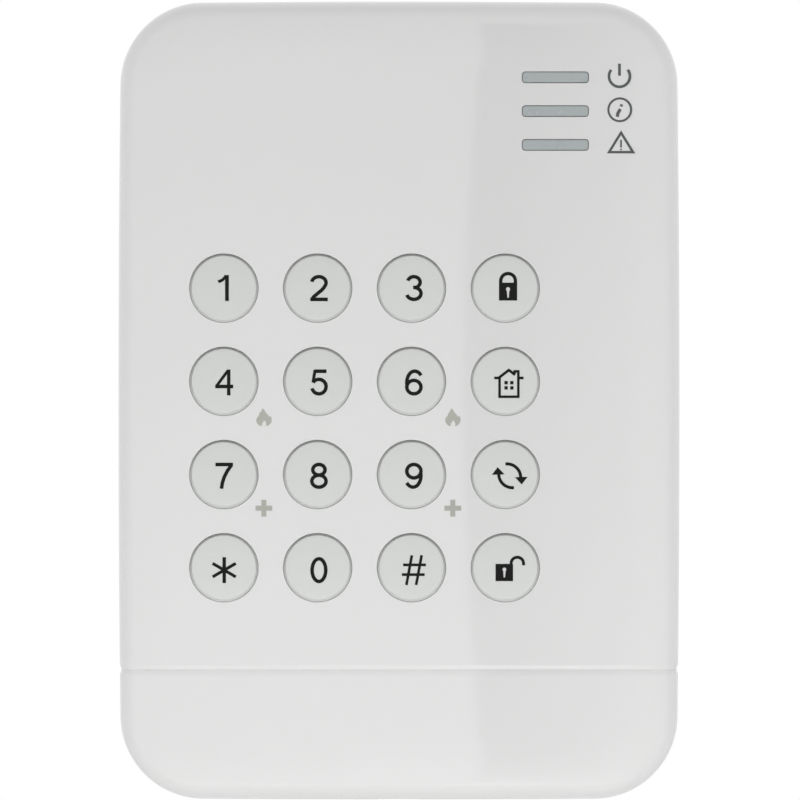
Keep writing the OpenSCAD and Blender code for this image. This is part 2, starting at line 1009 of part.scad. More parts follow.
module lock_screw() {
    z0 = lock_sink_z - 0.05 - lock_head_h;
    shank = 8.6;
    cross = [3.2, 0.7];
    color(tin)
    difference() {
        union() {
            translate([0, -lock_t, z0])
                cylinder(h = lock_head_h, r = lock_head_r);
            translate([0, -lock_t, z0 + lock_head_h - eps])
                cylinder(h = shank, r = lock_d / 2);
        }
        translate([-cross[0] / 2, -lock_t - cross[1] / 2, z0 - 1])
            cube([cross[0], cross[1], 2]);
        translate([-cross[1] / 2, -lock_t - cross[0] / 2, z0 - 1])
            cube([cross[1], cross[0], 2]);
    }
}

// ---- nodes ------------------------------------------------------------------------------------

rear_base();
front_cover();
lower_fascia();
key_1();
key_2();
key_3();
key_arm();
key_4();
key_5();
key_6();
key_home();
key_7();
key_8();
key_9();
key_status();
key_star();
key_0();
key_hash();
key_disarm();
key_mat();
key_contacts();
key_leds();
light_guide();
light_shroud();
status_leds();
main_board();
microcontroller();
crystal();
radio_can();
antenna();
regulator();
capacitor();
chip_parts();
program_header();
sounder();
battery_holder();
battery_contacts();
battery_springs();
battery_cells();
tamper_switch();
tamper_button();
tamper_pin();
tamper_spring();
board_screws();
lock_screw();
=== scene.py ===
import math

import bmesh
import bpy
from mathutils import Matrix, Vector


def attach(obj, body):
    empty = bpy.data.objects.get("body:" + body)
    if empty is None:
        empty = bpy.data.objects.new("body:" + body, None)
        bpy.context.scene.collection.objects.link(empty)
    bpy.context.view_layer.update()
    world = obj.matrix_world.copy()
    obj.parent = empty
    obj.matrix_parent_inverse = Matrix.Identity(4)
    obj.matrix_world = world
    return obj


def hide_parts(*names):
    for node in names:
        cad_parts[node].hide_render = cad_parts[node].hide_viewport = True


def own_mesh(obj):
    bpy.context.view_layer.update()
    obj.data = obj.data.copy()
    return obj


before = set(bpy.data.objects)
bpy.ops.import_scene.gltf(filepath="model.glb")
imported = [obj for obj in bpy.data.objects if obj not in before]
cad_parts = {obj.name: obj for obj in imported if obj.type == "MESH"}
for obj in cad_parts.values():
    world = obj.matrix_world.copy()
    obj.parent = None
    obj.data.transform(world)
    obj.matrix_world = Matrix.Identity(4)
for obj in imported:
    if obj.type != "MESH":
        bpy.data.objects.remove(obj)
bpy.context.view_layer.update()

# Every mesh is drawn in millimetres, with depth y = -t measured out from the wall, and scaled to metres at the end.
HX, HZ, DEPTH = 45.0, 64.0, 23.0
CORNER_R, SIDE_BOW, END_BOW = 13.0, 0.5, 0.3
FACE_T, INNER_T, SKIRT_T, WALL = 22.4, 20.2, 1.6, 2.2
EDGE_R, CROWN, CROWN_W, DRAFT = 3.0, 0.9, 7.0, 0.4
SPLIT_Z, GROOVE_D = -43.1, 0.22
KEY_X0, KEY_Z0, KEY_DX, KEY_DZ = -28.0, 18.0, 15.0, 14.9
HOLE_R, CAP_R = 5.5, 5.2
BAR_X, BAR_Z0, BAR_DZ, BAR_LEN, BAR_H, BAR_R = 25.0, 51.7, 5.4, 10.7, 1.85, 0.55
BAR_ZS = [BAR_Z0 - i * BAR_DZ for i in range(3)]
PAD_X, PAD_Z = KEY_X0 + 1.5 * KEY_DX, KEY_Z0 - 1.5 * KEY_DZ
BOARD_T, BOARD_REAR_T = 16.0, 14.4
HINGE_T, HINGE_Z, HOOK_X = 3.4, 60.4, (-24, 24)
LOCK_T = 5.2
COVER_SCREWS, FASCIA_SCREWS = [(-38, 50), (38, 50), (-38, -36), (38, -36)], [(-32, -54), (32, -54)]
BOARD_SCREWS = COVER_SCREWS + FASCIA_SCREWS
FRONT, BASE = "front_unit", "base"


# ---------------------------------------------------------------- materials

def material(name, color, rough, **inputs):
    """A Principled material. inputs holds socket names, with an underscore for each space."""
    m = bpy.data.materials.new(name)
    m.use_nodes = True
    bsdf = m.node_tree.nodes["Principled BSDF"]
    bsdf.inputs["Base Color"].default_value = (*color, 1)
    bsdf.inputs["Roughness"].default_value = rough
    for key, value in inputs.items():
        bsdf.inputs[key.replace("_", " ")].default_value = value
    return m


def add(m, kind, links=(), **props):
    """Adds a node. links maps its inputs to (node, output name), and props sets inputs or attributes."""
    node = m.node_tree.nodes.new(kind)
    for key, value in props.items():
        if key in node.inputs:
            node.inputs[key].default_value = value
        else:
            setattr(node, key, value)
    for socket, (source, output) in dict(links).items():
        m.node_tree.links.new(source.outputs[output], node.inputs[socket])
    return node


def noise(m, scale, detail, rough=0.5, stretch=(1, 1, 1)):
    """Noise in object space, in metres, so scale 1000 has features about a millimetre across."""
    coord = add(m, "ShaderNodeTexCoord")
    mapped = add(m, "ShaderNodeMapping", {"Vector": (coord, "Object")}, Scale=stretch)
    return add(m, "ShaderNodeTexNoise", {"Vector": (mapped, "Vector")}, Scale=scale, Detail=detail, Roughness=rough)


def ramp(m, source, output, stops):
    node = add(m, "ShaderNodeValToRGB", {"Fac": (source, output)})
    elements = node.color_ramp.elements
    while len(elements) < len(stops):
        elements.new(0.5)
    for element, (at, value) in zip(elements, stops):
        element.position = at
        element.color = (*value, 1) if isinstance(value, tuple) else (value, value, value, 1)
    return node


def feed(m, socket, node, output="Color"):
    bsdf = m.node_tree.nodes["Principled BSDF"]
    m.node_tree.links.new(node.outputs[output], bsdf.inputs[socket])


def bump(m, texture, strength, height_mm):
    node = add(m, "ShaderNodeBump", {"Height": (texture, "Fac")}, Strength=strength, Distance=height_mm * 0.001)
    feed(m, "Normal", node, "Normal")


def plastic(name, color, rough, vary, tone, grain, grain_mm, **inputs):
    """Moulded plastic: slight tone drift, uneven gloss and a fine surface texture."""
    m = material(name, color, rough, **inputs)
    drift = noise(m, 35, 3)
    low = tuple(max(c * (1 - tone), 0) for c in color)
    high = tuple(min(c * (1 + tone), 1) for c in color)
    feed(m, "Base Color", ramp(m, drift, "Fac", [(0.3, low), (0.7, high)]))
    patch = noise(m, 140, 5, 0.6)
    feed(m, "Roughness", ramp(m, patch, "Fac", [(0.3, max(rough - vary, 0.02)), (0.75, rough + vary)]))
    bump(m, noise(m, grain, 3), 0.6, grain_mm)
    return m


COVER = plastic("cover_abs", (0.582, 0.583, 0.581), 0.34, 0.03, 0.004, 420, 0.0012, Coat_Weight=0.85,
                Coat_Roughness=0.03, Coat_IOR=1.62)
KEYCAP = plastic("key_satin", (0.521, 0.533, 0.519), 0.36, 0.04, 0.01, 2600, 0.003)
LENS = plastic("lens_smoke", (0.333, 0.364, 0.366), 0.28, 0.04, 0.05, 1500, 0.002, Coat_Weight=0.4)
BASE_ABS = plastic("base_abs", (0.72, 0.72, 0.71), 0.55, 0.05, 0.01, 3200, 0.012)
BLACK = plastic("black_nylon", (0.022, 0.022, 0.024), 0.48, 0.08, 0.2, 2200, 0.006)
SILICONE = plastic("silicone", (0.42, 0.45, 0.47), 0.7, 0.05, 0.04, 2600, 0.006)
EPOXY = plastic("chip_epoxy", (0.025, 0.025, 0.028), 0.55, 0.06, 0.15, 3500, 0.006)
LAMP = plastic("lamp_body", (0.75, 0.7, 0.45), 0.3, 0.05, 0.05, 1800, 0.002)
INK = plastic("ink_black", (0.004, 0.004, 0.004), 0.7, 0.05, 0.1, 3000, 0.002, Specular_IOR_Level=0.2)
INK_GREY = plastic("ink_grey", (0.066, 0.074, 0.07), 0.5, 0.05, 0.1, 3000, 0.002)
INK_PALE = plastic("ink_pale", (0.33, 0.335, 0.3), 0.5, 0.05, 0.06, 3000, 0.002)
CARBON = plastic("carbon_print", (0.03, 0.03, 0.032), 0.75, 0.06, 0.15, 4500, 0.008)
FILM = dict(Coat_Weight=0.5, Coat_Roughness=0.1)
SLEEVE = plastic("cell_sleeve_film", (0.13, 0.2, 0.27), 0.22, 0.04, 0.03, 600, 0.004, **FILM)
BAND = plastic("cell_band_film", (0.72, 0.4, 0.16), 0.24, 0.04, 0.03, 600, 0.004, **FILM)
SILK = plastic("silkscreen_white", (0.78, 0.79, 0.76), 0.6, 0.05, 0.03, 3000, 0.004)
GLASS_EPOXY = plastic("glass_epoxy_edge", (0.5, 0.46, 0.25), 0.65, 0.06, 0.12, 4000, 0.02)
LACQUER = dict(Coat_Weight=0.45, Coat_Roughness=0.14)
MASK = plastic("solder_mask", (0.012, 0.115, 0.045), 0.3, 0.05, 0.22, 1100, 0.01, **LACQUER)
TRACE = plastic("mask_over_copper", (0.03, 0.2, 0.07), 0.3, 0.05, 0.15, 1100, 0.008, **LACQUER)
CERAMIC = plastic("chip_ceramic", (0.33, 0.24, 0.16), 0.45, 0.05, 0.25, 2600, 0.006)


def metal(name, color, rough, grain, stretch=(1, 1, 1)):
    """Bare or plated metal: uneven tone, and a gloss streaked along the stretched axis."""
    m = material(name, color, rough, Metallic=1.0)
    tone = noise(m, 220, 4)
    low = tuple(c * 0.86 for c in color)
    feed(m, "Base Color", ramp(m, tone, "Fac", [(0.3, low), (0.7, color)]))
    streak = noise(m, grain, 5, 0.6, stretch)
    feed(m, "Roughness", ramp(m, streak, "Fac", [(0.3, rough * 0.7), (0.7, rough * 1.4)]))
    bump(m, streak, 0.5, 0.003)
    return m


TIN = metal("tinned_sheet", (0.72, 0.73, 0.74), 0.3, 700, (1, 1, 6))
NICKEL = metal("nickel", (0.76, 0.74, 0.7), 0.2, 1500)
ZINC = metal("zinc_plate", (0.7, 0.71, 0.72), 0.32, 1800)
COPPER = metal("copper", (0.85, 0.46, 0.27), 0.25, 1500)
ALU = metal("aluminium", (0.8, 0.81, 0.82), 0.28, 900, (1, 8, 1))
SOLDER = metal("solder", (0.68, 0.69, 0.71), 0.26, 1300)
GOLD = metal("gilt_pin", (0.83, 0.62, 0.27), 0.24, 1600)


# ---------------------------------------------------------------- mesh tools

def from_bm(name, bm, mat):
    """An object made of one bmesh, which is freed."""
    bmesh.ops.recalc_face_normals(bm, faces=bm.faces)
    me = bpy.data.meshes.new(name)
    bm.to_mesh(me)
    bm.free()
    o = bpy.data.objects.new(name, me)
    bpy.context.scene.collection.objects.link(o)
    me.materials.append(mat)
    return o


def rings_bm(rings, wrap=False):
    """Joins rings of equally many points with quads, and caps the ends. wrap joins the last ring to the first."""
    bm = bmesh.new()
    made = [[bm.verts.new(p) for p in r] for r in rings]
    n = len(rings[0])
    pairs = list(zip(made, made[1:])) + ([(made[-1], made[0])] if wrap else [])
    for a, b in pairs:
        for j in range(n):
            k = (j + 1) % n
            bm.faces.new((a[j], b[j], b[k], a[k]))
    if not wrap:
        bm.faces.new(made[0])
        bm.faces.new(made[-1])
    return bm


def join_bm(parts):
    """One bmesh that holds several, which are freed."""
    out = bmesh.new()
    for part in parts:
        me = bpy.data.meshes.new("tmp")
        part.to_mesh(me)
        part.free()
        out.from_mesh(me)
        bpy.data.meshes.remove(me)
    return out


def moved(bm, x=0.0, y=0.0, z=0.0, turn=None):
    """Turns a bmesh by (degrees, axis) if asked, then shifts it."""
    if turn:
        bmesh.ops.rotate(bm, verts=bm.verts, matrix=Matrix.Rotation(math.radians(turn[0]), 3, turn[1]))
    bmesh.ops.translate(bm, verts=bm.verts, vec=(x, y, z))
    return bm


def lathe(profile, n=48, axis="Y"):
    """Turns (radius, distance) pairs about an axis. Distance runs along -Y, or along +Z or +X."""
    rings = []
    for r, d in profile:
        r = max(r, 1e-4)  # a point on the axis is drawn as a tiny ring
        ring = []
        for i in range(n):
            a = 2 * math.pi * i / n
            u, v = r * math.cos(a), r * math.sin(a)
            ring.append({"Y": (u, -d, v), "Z": (u, v, d), "X": (d, u, v)}[axis])
        rings.append(ring)
    return rings_bm(rings)


def turned(profile, x, z, n=48):
    """A lathed solid that stands straight out of the wall at (x, z)."""
    return moved(lathe(profile, n), x, 0, z)


def steps(step, count, start=0):
    """Evenly spaced angles, given in degrees."""
    return [math.radians(start + step * i) for i in range(count)]


def arc(cx, cy, r, a0, a1, n):
    return [(cx + r * math.cos(math.radians(a0 + (a1 - a0) * i / n)),
             cy + r * math.sin(math.radians(a0 + (a1 - a0) * i / n))) for i in range(n + 1)]


def box_bm(x, z, w, h, t0, t1, bevel=0.0, seg=2):
    """A box about (x, z) between two depths."""
    bm = bmesh.new()
    bmesh.ops.create_cube(bm, size=1)
    bmesh.ops.scale(bm, verts=bm.verts, vec=(w, t1 - t0, h))
    bmesh.ops.translate(bm, verts=bm.verts, vec=(x, -(t0 + t1) / 2, z))
    if bevel:
        bmesh.ops.bevel(bm, geom=list(bm.edges), offset=bevel, segments=seg, affect="EDGES", profile=0.5)
    return bm


def tube_bm(points, radius, sides=14):
    """A round wire through the points."""
    pts = [Vector(p) for p in points]
    rings, side = [], None
    for i, p in enumerate(pts):
        along = (pts[min(i + 1, len(pts) - 1)] - pts[max(i - 1, 0)]).normalized()
        if side is None:
            side = along.orthogonal().normalized()
        side = (side - along * side.dot(along)).normalized()
        other = along.cross(side)
        rings.append([p + (side * math.cos(a) + other * math.sin(a)) * radius
                      for a in [2 * math.pi * k / sides for k in range(sides)]])
    return rings_bm(rings)


def helix(r0, r1, length, turns):
    """Points of a coil along +X whose first and last turns lie flat."""
    n = int(turns * 28)
    out = []
    for i in range(n + 1):
        s = i / n
        a, r = 2 * math.pi * turns * s, r0 + (r1 - r0) * s
        rise = min(max((s * turns - 0.7) / (turns - 1.4), 0), 1)
        out.append((length * rise, r * math.cos(a), r * math.sin(a)))
    return out


def stack_bm(levels, x=0.0, z=0.0, wrap=False):
    """Joins (outline, depth) levels drawn about (x, z)."""
    return rings_bm([[(x + px, -t, z + pz) for px, pz in pts] for pts, t in levels], wrap)


def prism_bm(pts, t0, t1, x=0.0, z=0.0):
    """Extrudes (x, z) points between two depths."""
    return stack_bm([(pts, t0), (pts, t1)], x, z)


def rod_bm(x, z, r, t0, t1, n=32):
    return turned([(r, t0), (r, t1)], x, z, n)


def rect(x, z, w, h):
    return [(x - w / 2, z - h / 2), (x + w / 2, z - h / 2), (x + w / 2, z + h / 2), (x - w / 2, z + h / 2)]


def applied(o, kind, **props):
    """Adds one modifier and applies all that the object has."""
    mod = o.modifiers.new(kind.lower(), kind)
    for key, value in props.items():
        setattr(mod, key, value)
    me = bpy.data.meshes.new_from_object(o.evaluated_get(bpy.context.evaluated_depsgraph_get()))
    o.modifiers.clear()
    o.data = me
    return o


def soften(o, width, seg=2):
    """Rounds every sharp edge of a finished solid."""
    return applied(o, "BEVEL", width=width, segments=seg, limit_method="ANGLE", angle_limit=math.radians(35))


def boolean(o, tool, op):
    """Applies a boolean with the tool object and removes the tool."""
    applied(o, "BOOLEAN", operation=op, object=tool, solver="EXACT")
    bpy.data.objects.remove(tool)
    return o


def each(o, tools, op):
    """One boolean after another, so the tools may overlap."""
    for tool in tools:
        boolean(o, from_bm("t", tool, o.data.materials[0]), op)
    return o


def join_all(o, tools):
    return each(o, tools, "UNION")


def cut_each(o, tools):
    return each(o, tools, "DIFFERENCE")


def cut_all(o, tools):
    """Cuts with several tools at once, which mustn't overlap: an exact boolean loses those that do."""
    return cut_each(o, [join_bm(tools)])


def place(o, *nodes, body=FRONT, slot=None, angle=32, weigh=True):
    """Scales a finished millimetre mesh to metres, and rides it on its body in place of its CAD nodes."""
    me = o.data
    me.transform(Matrix.Scale(0.001, 4))
    me.polygons.foreach_set("use_smooth", [True] * len(me.polygons))
    me.set_sharp_from_angle(angle=math.radians(angle))
    if weigh:
        mod = o.modifiers.new("weighted", "WEIGHTED_NORMAL")
        mod.keep_sharp, mod.weight = True, 80
    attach(o, body)
    if nodes:
        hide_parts(*nodes)
    return o


def fit(name, bm, mat, *nodes, **how):
    """Places one finished mesh."""
    return place(from_bm(name, bm, mat), *nodes, **how)


# ---------------------------------------------------------------- shell of the front unit

def bowed(x, z):
    """Draws a point in by the bow of the case's sides and ends."""
    return x * (1 - SIDE_BOW / HX * (z / HZ) ** 2), z * (1 - END_BOW / HZ * (x / HX) ** 2)


def outline(inset):
    """The case outline moved in by inset, as (x, z) points in step with every other inset."""
    corner, long, short = 20, 34, 22  # steps round a corner, up a side and across an end
    r = max(CORNER_R - inset, 0.4)
    cx, cz = HX - inset - r, HZ - inset - r
    arcs = [arc(sx * cx, sz * cz, r, a, a + 90, corner)
            for sx, sz, a in ((1, 1, 0), (-1, 1, 90), (-1, -1, 180), (1, -1, 270))]
    flat = []
    for i, n in enumerate((short, long, short, long)):
        p, q = arcs[i][-1], arcs[(i + 1) % 4][0]
        flat += arcs[i] + [(p[0] + (q[0] - p[0]) * k / n, p[1] + (q[1] - p[1]) * k / n) for k in range(1, n)]
    return [bowed(x, z) for x, z in flat]


FILLET_END = 90 - math.degrees(math.atan(2 * CROWN / CROWN_W))
FILLET_T = FACE_T - CROWN - EDGE_R * math.sin(math.radians(FILLET_END))
MARGIN = DRAFT + EDGE_R * (1 - math.cos(math.radians(FILLET_END)))


def skin_profile():
    """(inset, depth) pairs of the outer skin, from the flat middle out over the edge to the skirt's end."""
    crown = [(MARGIN + CROWN_W * s, FACE_T - CROWN * (1 - s) ** 2) for s in [1 - i / 12 for i in range(12)]]
    edge = [(DRAFT + EDGE_R * (1 - math.cos(a)), FILLET_T + EDGE_R * math.sin(a))
            for a in [math.radians(FILLET_END * (1 - i / 12)) for i in range(13)]]
    side = [(DRAFT * s, SKIRT_T + 0.3 + (FILLET_T - SKIRT_T - 0.3) * s) for s in (0.66, 0.33, 0.0)]
    lip = [(0.09, SKIRT_T + 0.09), (0.3, SKIRT_T)]
    return crown + edge + side + lip


def shell(name):
    """The whole moulding, closed from skirt to skirt over its outer and inner skins."""
    inner = [(WALL - 0.25, SKIRT_T), (WALL, SKIRT_T + 0.25), (WALL, FILLET_T - 0.4)]
    inner += [(WALL + 2.6 * (1 - math.cos(a)), FILLET_T - 0.4 + (INNER_T - FILLET_T + 0.4) * math.sin(a))
              for a in steps(15, 6, 15)]
    return from_bm(name, stack_bm([(outline(inset), t) for inset, t in skin_profile() + inner]), COVER)


def groove_cutter():
    """A flared channel swept along the skin at the parting line."""
    scale = 1 - SIDE_BOW / HX * (SPLIT_Z / HZ) ** 2
    half = [((HX - inset) * scale, -t) for inset, t in reversed(skin_profile()[:-1])]
    half = [(half[0][0] + 0.1, 0.5)] + half
    path = half + [(18.0, -FACE_T), (0.0, -FACE_T), (-18.0, -FACE_T)] + [(-x, y) for x, y in reversed(half)]
    half_w = 0.95
    section = [(0.6, half_w + 0.35), (0.02, half_w + 0.07)]
    section += [(-GROOVE_D * (0.5 + 0.5 * math.cos(math.pi * k / 6)), half_w * k / 6) for k in range(5, 0, -1)]
    section += [(-GROOVE_D, 0.0)] + [(o, -w) for o, w in reversed(section)]
    rings = []
    for i, p in enumerate(path):
        a, b = Vector(path[max(i - 1, 0)]), Vector(path[min(i + 1, len(path) - 1)])
        along = (b - a).normalized()
        n = Vector((along.y, -along.x))
        if n.dot(Vector((p[0], p[1] + 8))) < 0:
            n = -n
        rings.append([(p[0] + n.x * o, p[1] + n.y * o, SPLIT_Z + w) for o, w in section])
    return rings_bm(rings)


def lip_levels(lip):
    """(growth, depth) pairs of a cutter whose flared top leaves a rounded lip."""
    flare = [(lip * (1 - math.cos(a)), FACE_T - lip + lip * math.sin(a)) for a in steps(18, 5)]
    return [(0.0, INNER_T - 1.2)] + flare + [(lip + 0.25, FACE_T + 0.1)]


def hole_cutter(x, z):
    return turned([(HOLE_R + grow, t) for grow, t in lip_levels(0.16)], x, z, 96)


def slot_outline(w, h, r, n=6):
    """A rectangle with rounded corners."""
    out = []
    for sx, sz, a in ((1, 1, 0), (-1, 1, 90), (-1, -1, 180), (1, -1, 270)):
        out += arc(sx * (w / 2 - r), sz * (h / 2 - r), r, a, a + 90, n)
    return out


def bar_outline(grow):
    return slot_outline(BAR_LEN + 2 * grow, BAR_H + 2 * grow, max(BAR_R + grow, 0.06))


def slot_cutter(x, z):
    return stack_bm([(bar_outline(grow), t) for grow, t in lip_levels(0.12)], x, z)


def keys_at():
    return [(KEY_X0 + c * KEY_DX, KEY_Z0 - r * KEY_DZ) for r in range(4) for c in range(4)]


def boss_bm(x, z):
    """A tapered screw boss with its pilot hole, standing on the cover's inner face."""
    r, pilot = 2.6, 1.3
    out = [(pilot, INNER_T - 0.6), (pilot, BOARD_T + 0.35), (pilot + 0.3, BOARD_T + 0.05), (r - 0.2, BOARD_T + 0.05),
           (r, BOARD_T + 0.25), (r + 0.12, INNER_T - 0.5), (r + 0.6, INNER_T + 0.3)]
    return turned(out, x, z, 40)


def shell_part(name, z0, z1):
    """The shell between two heights."""
    return each(shell(name), [box_bm(0, (z0 + z1) / 2, 120, z1 - z0, -5, 40)], "INTERSECT")


def front_cover():
    o = shell_part("front_cover_shell", SPLIT_Z + 0.01, 80)
    feats = [boss_bm(x, z) for x, z in COVER_SCREWS]
    span, top = 3 * KEY_DX + 13.4 + 1.4, INNER_T + 0.3
    for r in range(-1, 4):
        feats.append(box_bm(PAD_X, KEY_Z0 - (r + 0.5) * KEY_DZ, span, 1.0, 17.3, top, 0.15))
    for c in (-0.5, 3.5):
        feats.append(box_bm(KEY_X0 + c * KEY_DX, PAD_Z, 0.8, 4 * KEY_DZ - 1.2, 17.5, top, 0.15))
    for x in (-26, 0, 26):
        feats.append(box_bm(x, SPLIT_Z - 0.5, 10, 9, INNER_T - 1.4, INNER_T - 0.15, 0.25))
        feats.append(box_bm(x, SPLIT_Z + 2.2, 9.6, 3.4, INNER_T - 1.3, INNER_T + 0.3, 0.1))
    join_all(o, feats + [seat_bm(x) for x in HOOK_X])
    cut_all(o, [hole_cutter(x, z) for x, z in keys_at()] + [slot_cutter(BAR_X, z) for z in BAR_ZS] + [groove_cutter()])
    place(o, "front_cover")


def seat_bm(x):
    """The C-shaped hinge seat that hangs on the base's hook nose."""
    r0, r1, half = 1.42, 2.6, 3.5
    ring = arc(0, 0, r1, 65, 250, 22) + arc(0, 0, r0, 250, 65, 22)
    # measured in (back, up) from the hinge axis
    return rings_bm([[(x + s, -HINGE_T + b, HINGE_Z + u) for b, u in ring] for s in (-half, half)])


def lower_fascia():
    o = shell_part("lower_fascia_shell", -80, SPLIT_Z - 0.01)
    # the pad is what the lock screw clamps
    join_all(o, [boss_bm(x, z) for x, z in FASCIA_SCREWS] + [box_bm(0, -61.6, 12.4, 2.8, SKIRT_T, 9.6, 0.2)])
    cuts = [groove_cutter()]
    for r, z0, z1 in ((3.3, -65.0, -62.1), (1.8, -66.0, -59.2)):
        pts = [(r, 2.0), (-r, 2.0)] + [(x, -y) for x, y in arc(0, LOCK_T, r, 180, 0, 20)]
        cuts.append(rings_bm([[(x, y, z) for x, y in pts] for z in (z0, z1)]))
    cut_each(o, cuts)
    place(o, "lower_fascia")


front_cover()
lower_fascia()


# ---------------------------------------------------------------- keys and their legends

KEY_NAMES = ["key_1", "key_2", "key_3", "key_arm", "key_4", "key_5", "key_6", "key_home",
             "key_7", "key_8", "key_9", "key_status", "key_star", "key_0", "key_hash", "key_disarm"]
DOME, KEY_TOP = 0.42, DEPTH - 0.04


def face_t(dx, dz):
    """Depth of a key's softly domed face at an offset from its centre."""
    return KEY_TOP - DOME * (dx * dx + dz * dz) / CAP_R ** 2


def key_bm():
    """A key's stem, its collar, which slopes down towards the top of the hole, and its domed cap."""
    edge = 0.28
    collar_r, collar_t, lean = HOLE_R - 0.03, FACE_T - 0.41, 0.26
    profile = [(0.0, 18.75), (2.3, 18.75), (2.4, 18.85), (2.4, 19.3), (collar_r, 19.3)]
    profile += [(collar_r, collar_t - 0.05), (collar_r - 0.03, collar_t), (CAP_R, collar_t)]
    profile += [(CAP_R - edge * (1 - math.cos(a)), KEY_TOP - DOME - edge + edge * math.sin(a))
                for a in steps(10, 9)]
    profile += [(r, face_t(r, 0)) for r in (4.4, 3.8, 3.0, 2.0, 1.0, 0.0)]
    cap = lathe(profile, 96)
    for v in cap.verts:
        if math.hypot(v.co.x, v.co.z) > CAP_R - 0.001 and collar_t - 0.06 < -v.co.y < collar_t + 0.001:
            v.co.y += lean * v.co.z / HOLE_R
    return cap


def flange_bm():
    """The square flange that keeps a key behind the cover."""
    pts = slot_outline(13.4, 13.4, 2.6, 8)
    levels = ((0.985, 19.2), (1, 19.28), (1, 19.92), (0.985, 20.0))
    return stack_bm([([(x * k, z * k) for x, z in pts], t) for k, t in levels])


def keys():
    for name, (x, z) in zip(KEY_NAMES, keys_at()):
        fit(name + "_cap", moved(join_bm([key_bm(), flange_bm()]), x, 0, z), KEYCAP, name, body=name + "_cap")


keys()


# ---------------------------------------------------------------- printed marks

def fine(points, step=0.3, closed=False):
    """Adds points along straight runs, so a mark can follow a domed face."""
    out = []
    pairs = list(zip(points, points[1:] + points[:1] if closed else points[1:]))
    for p, q in pairs:
        n = max(1, math.ceil(math.dist(p, q) / step))
        out += [(p[0] + (q[0] - p[0]) * i / n, p[1] + (q[1] - p[1]) * i / n) for i in range(n)]
    return out if closed else out + [points[-1]]


def stroke(points, width, closed=False, step=0.3):
    """A line of even width, as one loop, or as an outer and an inner loop if it is closed."""
    pts = fine(points, step, closed)
    left, right = [], []
    for i, p in enumerate(pts):
        a = pts[i - 1] if closed or i else p
        b = pts[(i + 1) % len(pts)] if closed or i + 1 < len(pts) else p
        d1 = Vector((p[0] - a[0], p[1] - a[1]))
        d2 = Vector((b[0] - p[0], b[1] - p[1]))
        d1 = d1.normalized() if d1.length > 1e-9 else d2.normalized()
        d2 = d2.normalized() if d2.length > 1e-9 else d1
        mid = (d1 + d2).normalized()
        miter = width / 2 / max(mid.dot(d1), 0.5)
        left.append((p[0] - mid.y * miter, p[1] + mid.x * miter))
        right.append((p[0] + mid.y * miter, p[1] - mid.x * miter))
    return [left, right] if closed else [left + right[::-1]]


def oval(cx, cz, rx, rz, a0, a1):
    n = max(6, int(abs(a1 - a0) / 9))
    angles = [math.radians(a0 + (a1 - a0) * i / n) for i in range(n + 1)]
    return [(cx + rx * math.cos(a), cz + rz * math.sin(a)) for a in angles]


def ring_mark(cx, cz, rx, rz, width):
    return stroke(oval(cx, cz, rx, rz, 0, 360)[:-1], width, True)


def mark_bm(shape, cx, cz, depth_at, lift):
    """A thin raised print of one shape. shape holds an outer loop and any holes."""
    bm = bmesh.new()
    loops, edges = [], []
    for loop in shape:
        vs = [bm.verts.new((x, 0, z)) for x, z in loop]
        loops.append(vs)
        edges += [bm.edges.new((vs[i], vs[(i + 1) % len(vs)])) for i in range(len(vs))]
    bmesh.ops.triangle_fill(bm, use_beauty=True, use_dissolve=False, edges=edges)
    faces = list(bm.faces)
    copy = bmesh.ops.duplicate(bm, geom=list(bm.verts) + list(bm.edges) + faces)["vert_map"]
    for vs in loops:
        for i, v in enumerate(vs):
            w = vs[(i + 1) % len(vs)]
            bm.faces.new((v, w, copy[w], copy[v]))
    tops = {v for vs in loops for v in vs}
    for v in bm.verts:
        x, z = v.co.x, v.co.z
        v.co = Vector((cx + x, -(depth_at(x, z) + (lift if v in tops else -0.04)), cz + z))
    return bm


def flat_face(x, z):
    return FACE_T


def print_mark(name, shapes, cx, cz, ink, depth_at=flat_face, body=FRONT):
    """A printed mark. Each shape stands a little higher than the last, so none lie in one plane."""
    bm = join_bm([mark_bm(shape, cx, cz, depth_at, 0.022 + 0.001 * i) for i, shape in enumerate(shapes)])
    fit(name, bm, ink, body=body, angle=40, weigh=False)


